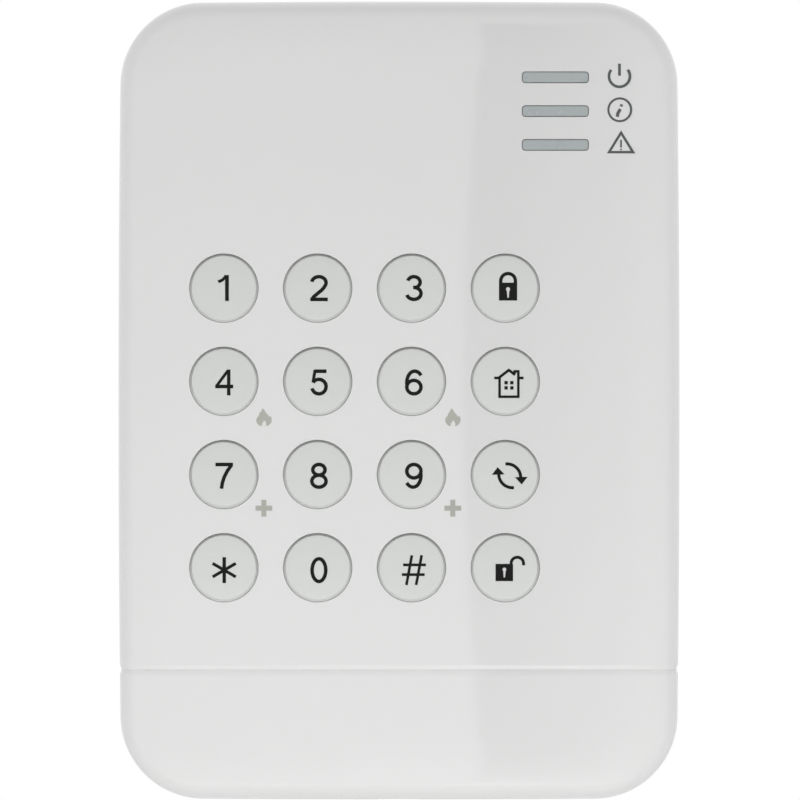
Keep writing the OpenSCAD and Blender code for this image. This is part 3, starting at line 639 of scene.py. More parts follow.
W = 0.58  # the usual width of a digit's line
LEGENDS = {
    "key_1": [stroke([(0.44, -2.07), (0.44, 2.07)], 0.6),
              stroke([(-0.98, 1.02), (-0.6, 1.12), (-0.2, 1.35), (0.1, 1.68), (0.3, 2.02)], 0.48)],
    "key_2": [stroke(oval(0, 0.86, 1.14, 0.955, 172, -22)
                     + [(0.84, 0.12), (0.42, -0.36), (-0.35, -0.98), (-0.86, -1.42), (-1.12, -1.84)], W),
              stroke([(-1.38, -1.815), (1.42, -1.815)], W)],
    "key_3": [stroke(oval(0, 0.93, 1.0, 0.885, 165, -84), W), stroke(oval(0, -0.86, 1.14, 0.955, 96, -166), W)],
    "key_4": [stroke([(0.72, -2.07), (0.72, 2.07)], 0.55), stroke([(-1.44, -0.64), (1.44, -0.64)], W),
              stroke([(-1.24, -0.58), (0.62, 1.94)], 0.46)],
    "key_5": [stroke([(1.22, 1.8), (-0.72, 1.8)], W), stroke([(-0.62, 1.98), (-0.94, -0.02)], 0.5),
              stroke(oval(0, -0.66, 1.14, 1.155, 146, -166), W)],
    "key_6": [ring_mark(0, -0.74, 1.13, 1.075, W), stroke(oval(0.14, 0.0, 1.27, 1.815, 38, 196), W)],
    "key_7": [stroke([(-1.4, 1.81), (1.4, 1.81)], W),
              stroke([(1.16, 1.72), (0.5, 0.78), (0.0, -0.2), (-0.3, -1.15), (-0.44, -2.07)], W)],
    "key_8": [ring_mark(0, 0.97, 0.98, 0.845, W), ring_mark(0, -0.86, 1.14, 0.955, W)],
    "key_9": [ring_mark(0, 0.74, 1.13, 1.075, W), stroke(oval(-0.14, 0.0, 1.27, 1.815, 218, 376), W)],
    "key_0": [ring_mark(0, 0, 1.09, 1.815, W)],
    "key_star": [stroke([(0, -2.07), (0, 2.07)], 0.56), stroke([(-1.86, 1.08), (1.86, -1.08)], 0.5),
                 stroke([(-1.86, -1.08), (1.86, 1.08)], 0.5)],
    "key_hash": [stroke([(-1.2, -2.38), (-0.32, 2.38)], 0.44), stroke([(0.36, -2.38), (1.24, 2.38)], 0.44),
                 stroke([(-1.72, 0.84), (1.92, 0.84)], 0.44), stroke([(-1.92, -0.72), (1.72, -0.72)], 0.44)],
}


def keyhole(x, z, size):
    """A round head over a tapering slot, wound the other way from the body it is cut from."""
    foot = [(x + s * 0.13 * size, z - 1.5 * size) for s in (-1, 1)]
    return oval(x, z, 0.36 * size, 0.36 * size, -52, 232) + foot


def closed_box(x0, z0, x1, z1):
    """A square outline with points close enough to follow a domed face."""
    return fine([(x0, z0), (x1, z0), (x1, z1), (x0, z1)], 0.3, True)


def arrow_arc(turn):
    """A quarter turn of line with an arrowhead, turned half round if asked."""
    def spin(pts):
        return [(-x, -z) for x, z in pts] if turn else pts
    return [stroke(spin(oval(-0.45, -0.25, 2.2, 2.16, 96, -4)), 0.5),
            [fine(spin([(0.82, -0.22), (2.86, -0.16), (1.92, -1.38)]), 0.3, True)]]


ARCH = oval(0, 1.12, 1.45, 1.45, 0, 180)
LEGENDS["key_arm"] = [
    [fine([(-1.45, -2.02), (1.45, -2.02), (1.45, 1.12)], 0.3) + ARCH[1:-1] + fine([(-1.45, 1.12), (-1.45, -1.7)], 0.3),
     oval(0, 1.12, 0.9, 0.9, 0, 180) + [(-0.9, 0.84), (0.9, 0.84)], keyhole(0, -0.2, 0.92)]]
LEGENDS["key_home"] = [
    stroke([(-1.5, 0.8), (-1.5, -2.28), (1.5, -2.28), (1.5, 1.78), (0.9, 1.78), (0.9, 1.36)], 0.41),
    stroke([(-2.36, 0.72), (-1.66, 0.72), (-0.02, 1.98), (1.0, 1.22)], 0.43),
    stroke([(1.5, 0.72), (2.34, 0.72)], 0.43)] + [
    [closed_box(x - 0.27, z - 0.27, x + 0.27, z + 0.27)] for x in (-0.46, 0.46) for z in (-0.04, -0.86)]
LEGENDS["key_status"] = arrow_arc(False) + arrow_arc(True)
LEGENDS["key_disarm"] = [
    [closed_box(-1.57, -2.16, 1.23, 0.6), keyhole(-0.15, -0.3, 0.85)],
    stroke([(0.92, 0.5), (0.92, 0.66)] + oval(1.92, 0.66, 1.0, 1.0, 180, 0)[1:] + [(2.92, 0.36)], 0.48)]

# where each column's and row's print sits against its key, as printed slightly off the key pitch
SHIFT_X, SHIFT_Z = (0.06, 0.2, 0.38, 0.5), (0.0, -0.2, -0.22, -0.4)
OWN_SHIFT = {"key_arm": (-0.06, 0.02), "key_home": (0.08, 0.0), "key_status": (0.2, 0.0), "key_disarm": (-0.5, 0.4)}


def legends():
    for i, (name, (x, z)) in enumerate(zip(KEY_NAMES, keys_at())):
        own = OWN_SHIFT.get(name, (0, 0))
        dx, dz = SHIFT_X[i % 4] + own[0], SHIFT_Z[i // 4] + own[1]
        print_mark(name + "_legend", LEGENDS[name], x + dx, z + dz, INK,
                   lambda px, pz, dx=dx, dz=dz: face_t(px + dx, pz + dz), name + "_cap")


FLAME = [(-0.22, 1.45), (0.12, 1.1), (0.28, 0.72), (0.62, 0.42), (0.8, 0.05), (1.06, 0.22), (1.24, -0.2), (1.22, -0.7),
         (0.98, -1.12), (0.66, -1.36), (0.3, -1.42), (0.42, -1.1), (0.3, -0.78), (0.02, -0.46), (-0.12, -0.82),
         (-0.34, -1.06), (-0.3, -1.42), (-0.72, -1.34), (-1.06, -1.02), (-1.24, -0.56), (-1.12, -0.08),
         (-0.82, 0.22), (-0.74, 0.62), (-0.42, 0.95)]


def cross_outline(a, b):
    """A plus sign with arms 2a wide that reach out to b."""
    return [(-a, b), (a, b), (a, a), (b, a), (b, -a), (a, -a), (a, -b), (-a, -b), (-a, -a), (-b, -a), (-b, a), (-a, a)]


def triangle(r):
    return [(-r * 1.03, -r * 0.55), (r * 1.03, -r * 0.55), (0, r * 1.12)]


def panel_marks():
    for i, x in enumerate((-21.6, 8.6)):
        for name, loop, z in (("flame", FLAME, -2.65), ("cross", cross_outline(0.4, 1.34), -17.2)):
            print_mark(f"{name}_mark_{i + 1}", [[loop[::-1]]], x, z, INK_PALE)
    power = [stroke(oval(0, 0, 1.68, 1.68, 142, 398), 0.44), stroke([(0, 0.1), (0, 2.02)], 0.44)]
    info = [ring_mark(0, 0, 1.82, 1.82, 0.34), stroke([(-0.4, -1.12), (-0.3, -0.55), (0.1, 0.12)], 0.52),
            stroke([(0.2, 0.52), (0.32, 0.88)], 0.44)]
    warning = [stroke(triangle(1.86), 0.4, True, step=9), stroke([(0, -0.3), (0, 0.95)], 0.28),
               stroke([(0, -0.72), (0, -0.5)], 0.28)]
    for name, shapes, x, z in (("power", power, 35.25, 51.85), ("info", info, 35.3, 46.5),
                               ("warning", warning, 35.5, 40.75)):
        print_mark(name + "_mark", shapes, x, z, INK_GREY)


legends()
panel_marks()


# ---------------------------------------------------------------- light bars

def light_guide():
    """One smoked moulding: a plate behind the face, three pillowed bars in the slots, and their light pipes."""
    top, gap = FACE_T - 0.16, 0.03
    pillow = ((0, INNER_T - 1), (0, top - 0.2), (0.05, top - 0.12), (0.16, top - 0.05), (0.36, top))
    parts = [box_bm(BAR_X, BAR_ZS[1], 12.8, 2 * BAR_DZ + 4.6, INNER_T - 2, INNER_T - gap, 0.2)]
    for z in BAR_ZS:
        parts.append(stack_bm([(bar_outline(-(gap + inset)), t) for inset, t in pillow], BAR_X, z))
        parts.append(box_bm(BAR_X, z, 8, 1.4, BOARD_T + 1, INNER_T - 1.5, 0.15))
    fit("light_guide_lens", join_bm(parts), LENS, "light_guide")


light_guide()


# ---------------------------------------------------------------- rear base

BASE_T, RIM_T, NEST = 2.2, 6.5, WALL + 0.35
MOUNTS = [(sx * 30, sz * 42) for sx in (-1, 1) for sz in (-1, 1)]
TAMPER = (20, -50)
TOWER_T = 8.2


def plate_outline(inset=0.0):
    """The base's outline, drawn in at its top end so the cover clears it as it swings."""
    relieved = outline(NEST + 1.2 + inset)
    return [r if r[1] > 50 else p for p, r in zip(outline(NEST + inset), relieved)]


def rear_base():
    edge = 0.3
    plate = ((edge, 0), (edge * 0.3, edge * 0.3), (0, edge), (0, BASE_T))
    o = from_bm("rear_base_tray", stack_bm([(plate_outline(inset), t) for inset, t in plate]), BASE_ABS)
    rim = from_bm("t", prism_bm(outline(NEST), BASE_T - 0.6, RIM_T), BASE_ABS)
    cut_all(rim, [prism_bm(outline(NEST + 1.6), BASE_T - 2, RIM_T + 1)])
    cut_all(rim, [box_bm(0, 72, 90, 40, -1, RIM_T + 1)])
    boolean(o, rim, "UNION")
    ring = [(r, BASE_T + up) for r, up in ((4.4, -0.5), (5.3, -0.05), (5.0, 0.2), (4.95, 0.85), (4.8, 1))]
    feats = [turned(ring, x, z, 56) for x, z in MOUNTS]
    feats += [box_bm(0, z, 70, 1.2, BASE_T - 0.5, BASE_T + 1.6, 0.2) for z in (-5, 33)]
    feats += [box_bm(x, 14, 1.2, 38, BASE_T - 0.5, BASE_T + 1.6, 0.2) for x in (-18, 18)]
    feats.append(box_bm(0, -55.5, 10, 8.8, BASE_T - 0.5, 8.4, 0.35, 3))
    tower = [(4.6, BASE_T - 0.5), (5.5, BASE_T - 0.05), (5.2, BASE_T + 0.3), (5.2, TOWER_T - 0.3), (4.9, TOWER_T)]
    feats.append(turned(tower, *TAMPER, 64))
    for x in HOOK_X:
        feats.append(moved(lathe([(1.05, -4), (1.2, -3.85), (1.2, 3.85), (1.05, 4)], 40, "X"), x, -HINGE_T, HINGE_Z))
        feats.append(box_bm(x, HINGE_Z - 0.6, 7.9, 1.0, BASE_T - 0.4, HINGE_T))
    join_all(o, feats)
    cuts = [turned([(2.1, -1), (2.1, 2.4), (2.9, BASE_T + 1.01), (3.2, BASE_T + 1.6)], x, z) for x, z in MOUNTS]
    cuts.append(box_bm(0, -62, 13.8, 4.3, -1, RIM_T + 1))
    pin_bore = [(2.6, -1), (2.6, BASE_T - 0.04), (4, BASE_T - 0.03), (4, TOWER_T - 1.2), (1.6, TOWER_T - 1.19),
                (1.6, TOWER_T - 0.2), (1.85, TOWER_T + 0.05)]
    cuts.append(turned(pin_bore, *TAMPER, 56))
    for z, w, h in ((14, 24, 16), (48, 16, 8)):
        well = ((-0.3, -0.3), (0.2, 0.4), (0.2, 1.4))
        cuts.append(stack_bm([(slot_outline(w - 2 * g, h - 2 * g, 1.2 - g, 8), t) for g, t in well], z=z))
        # a score line on the front lets the thinned panel be pushed out
        wide, narrow = [slot_outline(w - g, h - g, 1.4, 8) for g in (0.6, 1.1)]
        low, high = 1.95, BASE_T + 0.3
        cuts.append(stack_bm([(narrow, low), (narrow, high), (wide, high), (wide, low)], z=z, wrap=True))
    # shallow sink wells behind the cells
    for x in (-27, -9, 9, 27):
        cuts.append(prism_bm(slot_outline(11, 2.2, 1.05, 8), BASE_T - 0.5, BASE_T + 1, x, -28))
    cut_all(o, cuts)
    # the lock screw's bore opens into the notch, and cutters in one call can't overlap
    cut_all(o, [moved(lathe([(1.55, -60.9), (1.55, -52.5)], 40, "Z"), 0, -LOCK_T, 0)])
    place(o, "rear_base", body=BASE)


rear_base()


# ---------------------------------------------------------------- light box, lamps, mat and contacts

def keys_grid(make):
    return join_bm([moved(make(), x, 0, z) for x, z in keys_at()])


def lamps_at():
    return [(KEY_X0 + (c + 0.5) * KEY_DX, KEY_Z0 - r * KEY_DZ) for r in range(4) for c in range(3)]


def light_shroud():
    o = from_bm("light_shroud_box", box_bm(BAR_X, BAR_ZS[1], 13.6, 16.2, BOARD_T + 0.05, INNER_T - 2.05, 0.25), BLACK)
    cut_all(o, [box_bm(BAR_X, z, 9.4, 3.6, BOARD_T - 1, INNER_T) for z in BAR_ZS])
    place(o, "light_shroud")


def lamp(name, node, spots, w, h, depth):
    """Surface-mount lamps: a moulded body with a lens well, and plated ends."""
    bodies = [box_bm(x, z, w * 0.78, h * 0.78, BOARD_T + 0.02, BOARD_T + depth, 0.06) for x, z in spots]
    well = [(min(w, h) * k, BOARD_T + depth + up) for k, up in ((0.34, -0.02), (0.3, 0), (0.1, 0.015))]
    fit(name + "_bodies", join_bm(bodies + [turned(well, x, z, 20) for x, z in spots]), LAMP, node)
    along = (w / 2, 0) if w > h else (0, h / 2)
    ends = []
    for x, z in spots:
        for s in (-1, 1):
            cx, cz = x + s * along[0] * 0.82, z + s * along[1] * 0.82
            size = (w * 0.18, h * 0.96) if w > h else (w * 0.96, h * 0.18)
            ends.append(box_bm(cx, cz, *size, BOARD_T + 0.01, BOARD_T + depth * 0.6, 0.04))
    fit(name + "_ends", join_bm(ends), SOLDER)


def key_mat():
    """The mat's sheet, and one dome to a key, drawn at rest."""
    w, h, mat_t = 3 * KEY_DX + 14.4, 3 * KEY_DZ + 14.4, BOARD_T + 1
    sheet = prism_bm(slot_outline(w, h, 2.5, 8), BOARD_T + 0.02, mat_t, PAD_X, PAD_Z)
    o = from_bm("key_mat_sheet", sheet, SILICONE)
    cuts = [keys_grid(lambda: lathe([(3.9, 15.9), (3.9, 16.6), (3.42, mat_t + 0.1)], 40))]
    cuts += [rod_bm(x, z, 1.4, BOARD_T - 1, mat_t + 1, 28) for x, z in lamps_at()]
    cut_all(o, cuts)
    place(o, "key_mat", angle=28)
    foot_t = mat_t - 0.02
    profile = [(0.0, mat_t), (1.6, mat_t), (1.6, 17.95), (2.3, 17.95), (3.43, foot_t), (5.0, foot_t),
               (4.55, mat_t + 0.12), (3.05, 18.35), (2.9, 18.55), (2.75, 18.65), (0.0, 18.65)]
    for name, (x, z) in zip(KEY_NAMES, keys_at()):
        o = fit(name + "_dome", turned(profile, x, z, 40), SILICONE, angle=28)
        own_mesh(o)


def comb_bm():
    """Two combs of interleaved fingers inside a round pad."""
    t0, t1, r, w = BOARD_T, BOARD_T + 0.05, 2.5, 0.34
    parts = []
    for a0 in (188, 8):
        parts += [prism_bm(loop, t0, t1) for loop in stroke(oval(0, 0, r, r, a0, a0 + 164), 0.32)]
    for k in range(-3, 4):
        x = k * 0.62
        reach = math.sqrt(r * r - x * x)
        s = 1 if k % 2 else -1
        z0, z1 = -s * (reach - 0.55), s * reach
        parts.append(box_bm(x, (z0 + z1) / 2, w, abs(z1 - z0), t0, t1))
    return join_bm(parts)


light_shroud()
lamp("status_led", "status_leds", [(BAR_X, z) for z in BAR_ZS], 3.2, 1.6, 0.8)
lamp("key_led", "key_leds", lamps_at(), 0.8, 1.6, 0.6)
key_mat()
fit("key_contact_combs", keys_grid(comb_bm), CARBON, "key_contacts")


# ---------------------------------------------------------------- main board

MCU, CRYSTAL, REGULATOR, CAPACITOR, HEADER = (-12, 14), (-12, 3), (14, 16), (26, 14), (-31, 33)
RADIO, SOUNDER = (-22, 43), (-13, -49.5)
ANTENNA_X, ANTENNA_Z, ANTENNA_R = (-9, 13), 53, 0.45
CELL_T, CELL_Z, BAY_Z, BAY_HALF = 8.15, (-22.3, -33.7), -28.0, 24.7
CELL_X1 = BAY_HALF - 0.7
CELL_X0 = CELL_X1 - 44.5


def rear(height):
    """The depth of a point that far off the board's rear face."""
    return BOARD_REAR_T - height


def rear_box(x, z, w, h, h0, h1, bevel=0.0):
    return box_bm(x, z, w, h, rear(h1), rear(h0), bevel)


def layer(name, shapes, mat, front, lift):
    """Thin flat artwork on one face of the board. shapes holds lists of loops."""
    t = BOARD_T if front else BOARD_REAR_T
    low, high = (t - 0.02, t + lift) if front else (t - lift, t + 0.02)
    parts = []
    for shape in shapes:
        bm = mark_bm(shape, 0, 0, lambda x, z: 0, 0.01)
        for v in bm.verts:
            v.co.y = -(high if (v.co.y < 0) == front else low)
        parts.append(bm)
    fit(name, join_bm(parts), mat)


def lead_bm(foot, half, at):
    """A bent lead. foot holds (outward, height) pairs, and at(outward, across) gives a point's (x, z)."""
    rings = [[(at(u, s), height) for u, height in foot] for s in (-half, half)]
    return rings_bm([[(x, -rear(height), z) for (x, z), height in ring] for ring in rings])


CHIPS_REAR = [(-24, 20), (-24, 17), (-24, 14), (-24, 11), (-2, 20), (-2, 17), (-2, 11), (-2, 8), (-19, 3), (-5, 3),
              (6, 20), (6, 12), (20, 8), (33, 20), (33, 8), (10, -50), (30, -47)]
CHIPS_FRONT = [(-8, 47), (-8, 44), (-8, 41), (-35, 43), (-35, 39), (8, 44), (8, 41)]
PIN_PITCH, PINS = 0.8, 11


def mcu_turn(u, v, side):
    """A point at u outward and v along one of the microcontroller's four sides."""
    a = side * math.pi / 2
    return MCU[0] + u * math.cos(a) - v * math.sin(a), MCU[1] + u * math.sin(a) + v * math.cos(a)


def main_board():
    w, h = 81.2, 115.0
    o = from_bm("main_board_panel", prism_bm(slot_outline(w, h, 8, 16), BOARD_REAR_T, BOARD_T), MASK)
    o.data.materials.append(GLASS_EPOXY)
    holes = [rod_bm(x, z, 1.6, BOARD_REAR_T - 1, BOARD_T + 1) for x, z in BOARD_SCREWS]
    holes += [rod_bm(x, ANTENNA_Z, ANTENNA_R + 0.1, BOARD_REAR_T - 1, BOARD_T + 1, 24) for x in ANTENNA_X]
    cut_all(o, holes)
    for face in o.data.polygons:
        face.material_index = 0 if abs(face.normal.y) > 0.5 else 1
    place(o, "main_board")

    traces, vias = [], []
    for side in range(4):
        for i in range(PINS):
            v = (i - (PINS - 1) / 2) * PIN_PITCH
            run = 7.1 + 0.45 * (i % 4)
            end = (run + 1.2 + 0.5 * abs(v) * 0.4, v * 1.35)
            pts = [mcu_turn(5.6, v, side), mcu_turn(run, v, side), mcu_turn(*end, side)]
            traces.append(stroke(pts, 0.22))
            vias.append(mcu_turn(*end, side))
    # supply: cells to regulator, regulator to reservoir, and the rails up both sides
    for pts, width in (
            ([(24.3, -20.5), (24.3, -12), (18, -5.5), (16.3, 6), (16.3, 13.2)], 1.1),
            ([(-24.3, -20.5), (-24.3, -8), (-33, 1), (-33, 29)], 1.1),
            ([(14, 19.2), (18, 23.5), (28, 23.5), (28, 17.5)], 1.1),
            ([(11.7, 13), (8, 9), (2, 9)], 0.7), ([(-31, 36), (-31, 40), (-26, 45), (-12, 45), (-9, 52.5)], 0.5),
            ([(37, -28), (37, 20), (33, 24), (33, 40)], 0.7), ([(-36.5, -28), (-36.5, 22)], 0.7),
            ([(17, -47), (12, -42.5), (-20, -42.5), (-26, -48.5)], 0.4),
            ([(23, -47.5), (26, -43.5), (34, -43.5)], 0.4), ([(-12, 1.2), (-12, -3), (-5, -9.5), (8, -9.5)], 0.3)):
        traces.append(stroke(pts, width))
        vias.append(pts[-1])
    for k in range(8):
        x = -30 + 4.2 * k
        traces.append(stroke([(x, 28.5), (x, 33 - 0.6 * k), (x + 3, 36 - 0.6 * k), (x + 3, 39)], 0.26))
        vias += [(x, 28.5), (x + 3, 39)]
    layer("rear_traces", traces, TRACE, False, 0.02)
    layer("rear_via_rings", [ring_mark(x, z, 0.3, 0.3, 0.22) for x, z in vias], SOLDER, False, 0.03)

    matrix = []
    for i in range(4):
        z, x = KEY_Z0 - i * KEY_DZ, KEY_X0 + i * KEY_DX
        matrix.append(stroke([(-36.5, z + 3.2), (24.5, z + 3.2)], 0.3))
        matrix.append(stroke([(x + 3.4, 26.5), (x + 3.4, -35.5)], 0.3))
    for k in range(6):
        x, low = -9 + k, 31 - 0.8 * k
        matrix.append(stroke([(x, 27 - 0.1 * k), (x, low), (x + 4, low + 4), (16.5, low + 4)], 0.26))
    matrix.append(stroke([(-18, -43), (-18, -38.5), (28, -38.5), (33, -43)], 0.6))
    layer("front_traces", matrix, TRACE, True, 0.015)

    frames = ((MCU, 13.4, 13.4), (CRYSTAL, 6.2, 4.4), (CAPACITOR, 7.6, 7.6), (HEADER, 8.8, 6.2), (TAMPER, 9.4, 7.4),
              ((0, BAY_Z), 53.6, 26.2))
    silk = [stroke(rect(*at, w, h), 0.16, True) for at, w, h in frames]
    silk += [stroke(rect(x, z, 2.8, 1.6), 0.12, True) for x, z in CHIPS_REAR]
    silk.append([oval(MCU[0] - 7.4, MCU[1] + 7.4, 0.35, 0.35, 0, 360)[:-1]])
    # plus and minus marks where each cell's button and base end lie
    for x, z, plus in ((29.2, CELL_Z[0], True), (-29.2, CELL_Z[1], True), (-29.2, CELL_Z[0], False),
                       (29.2, CELL_Z[1], False)):
        if plus:
            silk.append(stroke([(x, z - 1), (x, z + 1)], 0.3))
        silk.append(stroke([(x - 1, z), (x + 1, z)], 0.3))
    layer("rear_silkscreen", silk, SILK, False, 0.035)
    front_silk = [ring_mark(*SOUNDER, 7.1, 7.1, 0.18)]
    front_silk += [stroke(rect(x, z, 2.8, 1.6), 0.12, True) for x, z in CHIPS_FRONT]
    layer("front_silkscreen", front_silk, SILK, True, 0.035)

    lands = [ring_mark(x, z, 2.15, 2.15, 0.8) for x, z in BOARD_SCREWS]
    layer("rear_screw_lands", lands, SOLDER, False, 0.012)
    layer("front_screw_lands", lands, SOLDER, True, 0.03)


main_board()


# ---------------------------------------------------------------- parts on the board

def microcontroller():
    body = rear_box(0, 0, 10, 10, 0.12, 1.4)
    for v in body.verts:
        # moulded sides taper away from the seam
        if v.co.y > -rear(0.8):
            v.co.x, v.co.z = v.co.x * 0.965, v.co.z * 0.965
    o = soften(from_bm("microcontroller_body", body, EPOXY), 0.12)
    cut_all(o, [turned([(0.5, rear(1.32)), (0.55, rear(1.6))], -3.7, 3.7, 28)])
    o.data.transform(Matrix.Translation((MCU[0], 0, MCU[1])))
    place(o, "microcontroller")
    foot = [(4.85, 0.72), (5.3, 0.72), (5.52, 0.2), (5.98, 0.2), (5.98, 0.03), (5.4, 0.03), (5.18, 0.55), (4.85, 0.55)]
    leads = []
    for side in range(4):
        for i in range(PINS):
            v = (i - (PINS - 1) / 2) * PIN_PITCH
            leads.append(lead_bm(foot, 0.17, lambda u, s: mcu_turn(u, v + s, side)))
    fit("microcontroller_leads", join_bm(leads), SOLDER)


def crystal():
    levels = ((5, 3.2, 0.02), (5, 3.2, 0.6), (4.9, 3.1, 0.7), (4.5, 2.7, 0.72), (4.4, 2.6, 0.92), (4.2, 2.4, 1.0))
    can = stack_bm([(slot_outline(w, h, 0.5, 8), rear(height)) for w, h, height in levels], *CRYSTAL)
    fit("crystal_can", can, NICKEL, "crystal", slot="tinned_steel")


def radio_can():
    w, h, top = 19.0, 15.0, BOARD_T + 2.6
    x, z = RADIO
    o = soften(from_bm("radio_can_shield", box_bm(x, z, w, h, BOARD_T + 0.01, top), TIN), 0.35, 3)
    cuts = [rod_bm(x + i * 2.4, z + j * 2.4, 0.5, top - 0.3, top + 1, 24) for i in range(-2, 3) for j in range(-1, 2)]
    # notches between the solder feet, along each side
    notch_t = (BOARD_T - 1, BOARD_T + 0.7)
    cuts += [box_bm(x + 3.4 * k, z + s * h / 2, 1.4, 0.5, *notch_t) for k in range(-2, 3) for s in (-1, 1)]
    cuts += [box_bm(x + s * w / 2, z + 3.4 * k, 0.5, 1.4, *notch_t) for s in (-1, 1) for k in (-1, 0, 1)]
    cut_all(o, cuts)
    place(o, "radio_can")


def antenna():
    top, bend = BOARD_T + 2.4, 1.0
    path = [(ANTENNA_X[0], -(BOARD_REAR_T - 0.8), ANTENNA_Z)]
    path += [(ANTENNA_X[0] + bend - bend * math.cos(a), -(top - bend + bend * math.sin(a)), ANTENNA_Z)
             for a in steps(10, 10)]
    path += [(x, -top, ANTENNA_Z) for x in (0, 4)]
    path += [(ANTENNA_X[1] - bend + bend * math.sin(a), -(top - bend + bend * math.cos(a)), ANTENNA_Z)
             for a in steps(10, 10)]
    path.append((ANTENNA_X[1], -(BOARD_REAR_T - 0.8), ANTENNA_Z))
    fit("antenna_wire", tube_bm(path, ANTENNA_R, 20), COPPER, "antenna")
    cone = [(1.05, 0.02), (0.95, 0.08), (0.65, 0.25), (0.5, 0.6)]
    sides = ([(r, rear(d)) for r, d in cone], [(r, BOARD_T + d) for r, d in cone])
    fit("antenna_solder", join_bm([turned(side, x, ANTENNA_Z, 28) for x in ANTENNA_X for side in sides]), SOLDER)


def regulator():
    x, z = REGULATOR
    body = rear_box(x, z, 6.5, 3.5, 0.1, 1.6)
    for v in body.verts:
        if v.co.y > -rear(0.8):
            v.co.x, v.co.z = x + (v.co.x - x) * 0.95, z + (v.co.z - z) * 0.92
    soften(fit("regulator_body", body, EPOXY, "regulator"), 0.0001)  # already in metres
    leads = [rear_box(x, z + 2.6, 3, 2, 0.02, 0.28, 0.06)]
    foot = [(1.6, 0.75), (2.1, 0.75), (2.4, 0.25), (3.55, 0.25), (3.55, 0.03), (2.3, 0.03), (2.0, 0.5), (1.6, 0.5)]
    leads += [lead_bm(foot, 0.35, lambda u, s: (x + 2.3 * i + s, z - u)) for i in (-1, 0, 1)]
    fit("regulator_leads", join_bm(leads), SOLDER)


def capacitor():
    x, z = CAPACITOR
    w, clip = 3.3, 1.0
    foot = [(-w, -w), (w - clip, -w), (w, -w + clip), (w, w - clip), (w - clip, w), (-w, w)]
    place(soften(from_bm("capacitor_foot", prism_bm(foot, rear(0.8), rear(0.02), x, z), BLACK), 0.12), "capacitor")
    can = [(2.7, 0.78), (3.0, 0.82), (3.15, 0.95), (3.15, 1.5), (3.0, 1.66), (2.96, 1.85), (3.0, 2.04), (3.15, 2.2),
           (3.15, 5.45), (3.05, 5.68), (2.8, 5.8), (2.55, 5.74), (0, 5.74)]
    fit("capacitor_can", turned([(r, rear(d)) for r, d in can], x, z, 64), ALU)
    fit("capacitor_mark", prism_bm(oval(x, z, 2.5, 2.5, 120, 240), rear(5.78), rear(5.72)), BLACK)


def chip_parts():
    bodies, ends = [], []
    for spots, face, sign in ((CHIPS_REAR, BOARD_REAR_T, -1), (CHIPS_FRONT, BOARD_T, 1)):
        for x, z in spots:
            t = sorted((face + sign * 0.03, face + sign * 0.56))
            bodies.append(box_bm(x, z, 1.1, 0.76, *t, 0.04))
            t = sorted((face + sign * 0.01, face + sign * 0.6))
            ends += [box_bm(x + s * 0.63, z, 0.34, 0.8, *t, 0.07) for s in (-1, 1)]
    fit("chip_part_bodies", join_bm(bodies), CERAMIC, "chip_parts")
    fit("chip_part_ends", join_bm(ends), SOLDER)


def program_header():
    x, z = HEADER
    pitch, half = 2.54, 0.32
    spots = [(x + i * pitch, z + j * pitch) for i in (-1, 0, 1) for j in (-0.5, 0.5)]
    blocks = [rear_box(*at, pitch - 0.02, pitch - 0.02, 0.02, 2.5, 0.3) for at in spots]
    fit("header_block", join_bm(blocks), BLACK, "program_header")
    pin = [(rect(0, 0, 2 * k, 2 * k), rear(height)) for k, height in ((half, 2.2), (half, 6.6), (half * 0.45, 7.0))]
    fit("header_pins", join_bm([stack_bm(pin, *at) for at in spots]), GOLD)


def sounder():
    can = [(6.3, 0.02), (6.4, 0.15), (6.4, 3.0), (6.2, 3.2), (5.85, 3.25), (5.75, 3.44), (5.6, 3.5), (2.2, 3.5),
           (2.0, 3.42), (1.3, 3.42), (1.1, 3.3), (1.1, 2.5), (0, 2.5)]
    fit("sounder_can", turned([(r, BOARD_T + d) for r, d in can], *SOUNDER, 96), BLACK, "sounder")


for build in (microcontroller, crystal, radio_can, antenna, regulator, capacitor, chip_parts, program_header, sounder):
    build()


# ---------------------------------------------------------------- battery

def both_cells(make):
    """Draws a thing for the upper cell, and again turned round for the lower one."""
    return join_bm([moved(make(), z=CELL_Z[0]), moved(make(), z=CELL_Z[1], turn=(180, "Y"))])


def battery_holder():
    w, h, rear_t, floor_t = 52.2, 24.9, 4.5, 13.55
    o = from_bm("battery_tray", box_bm(0, BAY_Z, w, h, rear_t, BOARD_REAR_T - 0.02), BLACK)
    cut_all(o, [box_bm(0, z, 2 * BAY_HALF, 10.9, 0, floor_t) for z in CELL_Z])
    cut_all(o, [box_bm(0, BAY_Z + s * h / 2, 22, 4, 0, rear_t + 2.2) for s in (-1, 1)])
    place(soften(o, 0.16), "battery_holder")
    # curved rests that carry each cell, two to a bay
    rests = []
    for z in CELL_Z:
        for x in (-14, 14):
            for s in (-1, 1):
                curve = [(z + s * 5.33 * math.sin(a), CELL_T + 5.33 * math.cos(a)) for a in steps(7, 6, 14)]
                pts = curve + [(z + s * 5.2, curve[-1][1]), (z + s * 5.2, floor_t + 0.1), (curve[0][0], floor_t + 0.1)]
                rests.append(rings_bm([[(x + d, -t, zz) for zz, t in pts] for d in (-0.6, 0.6)]))
    fit("battery_rests", join_bm(rests), BLACK)


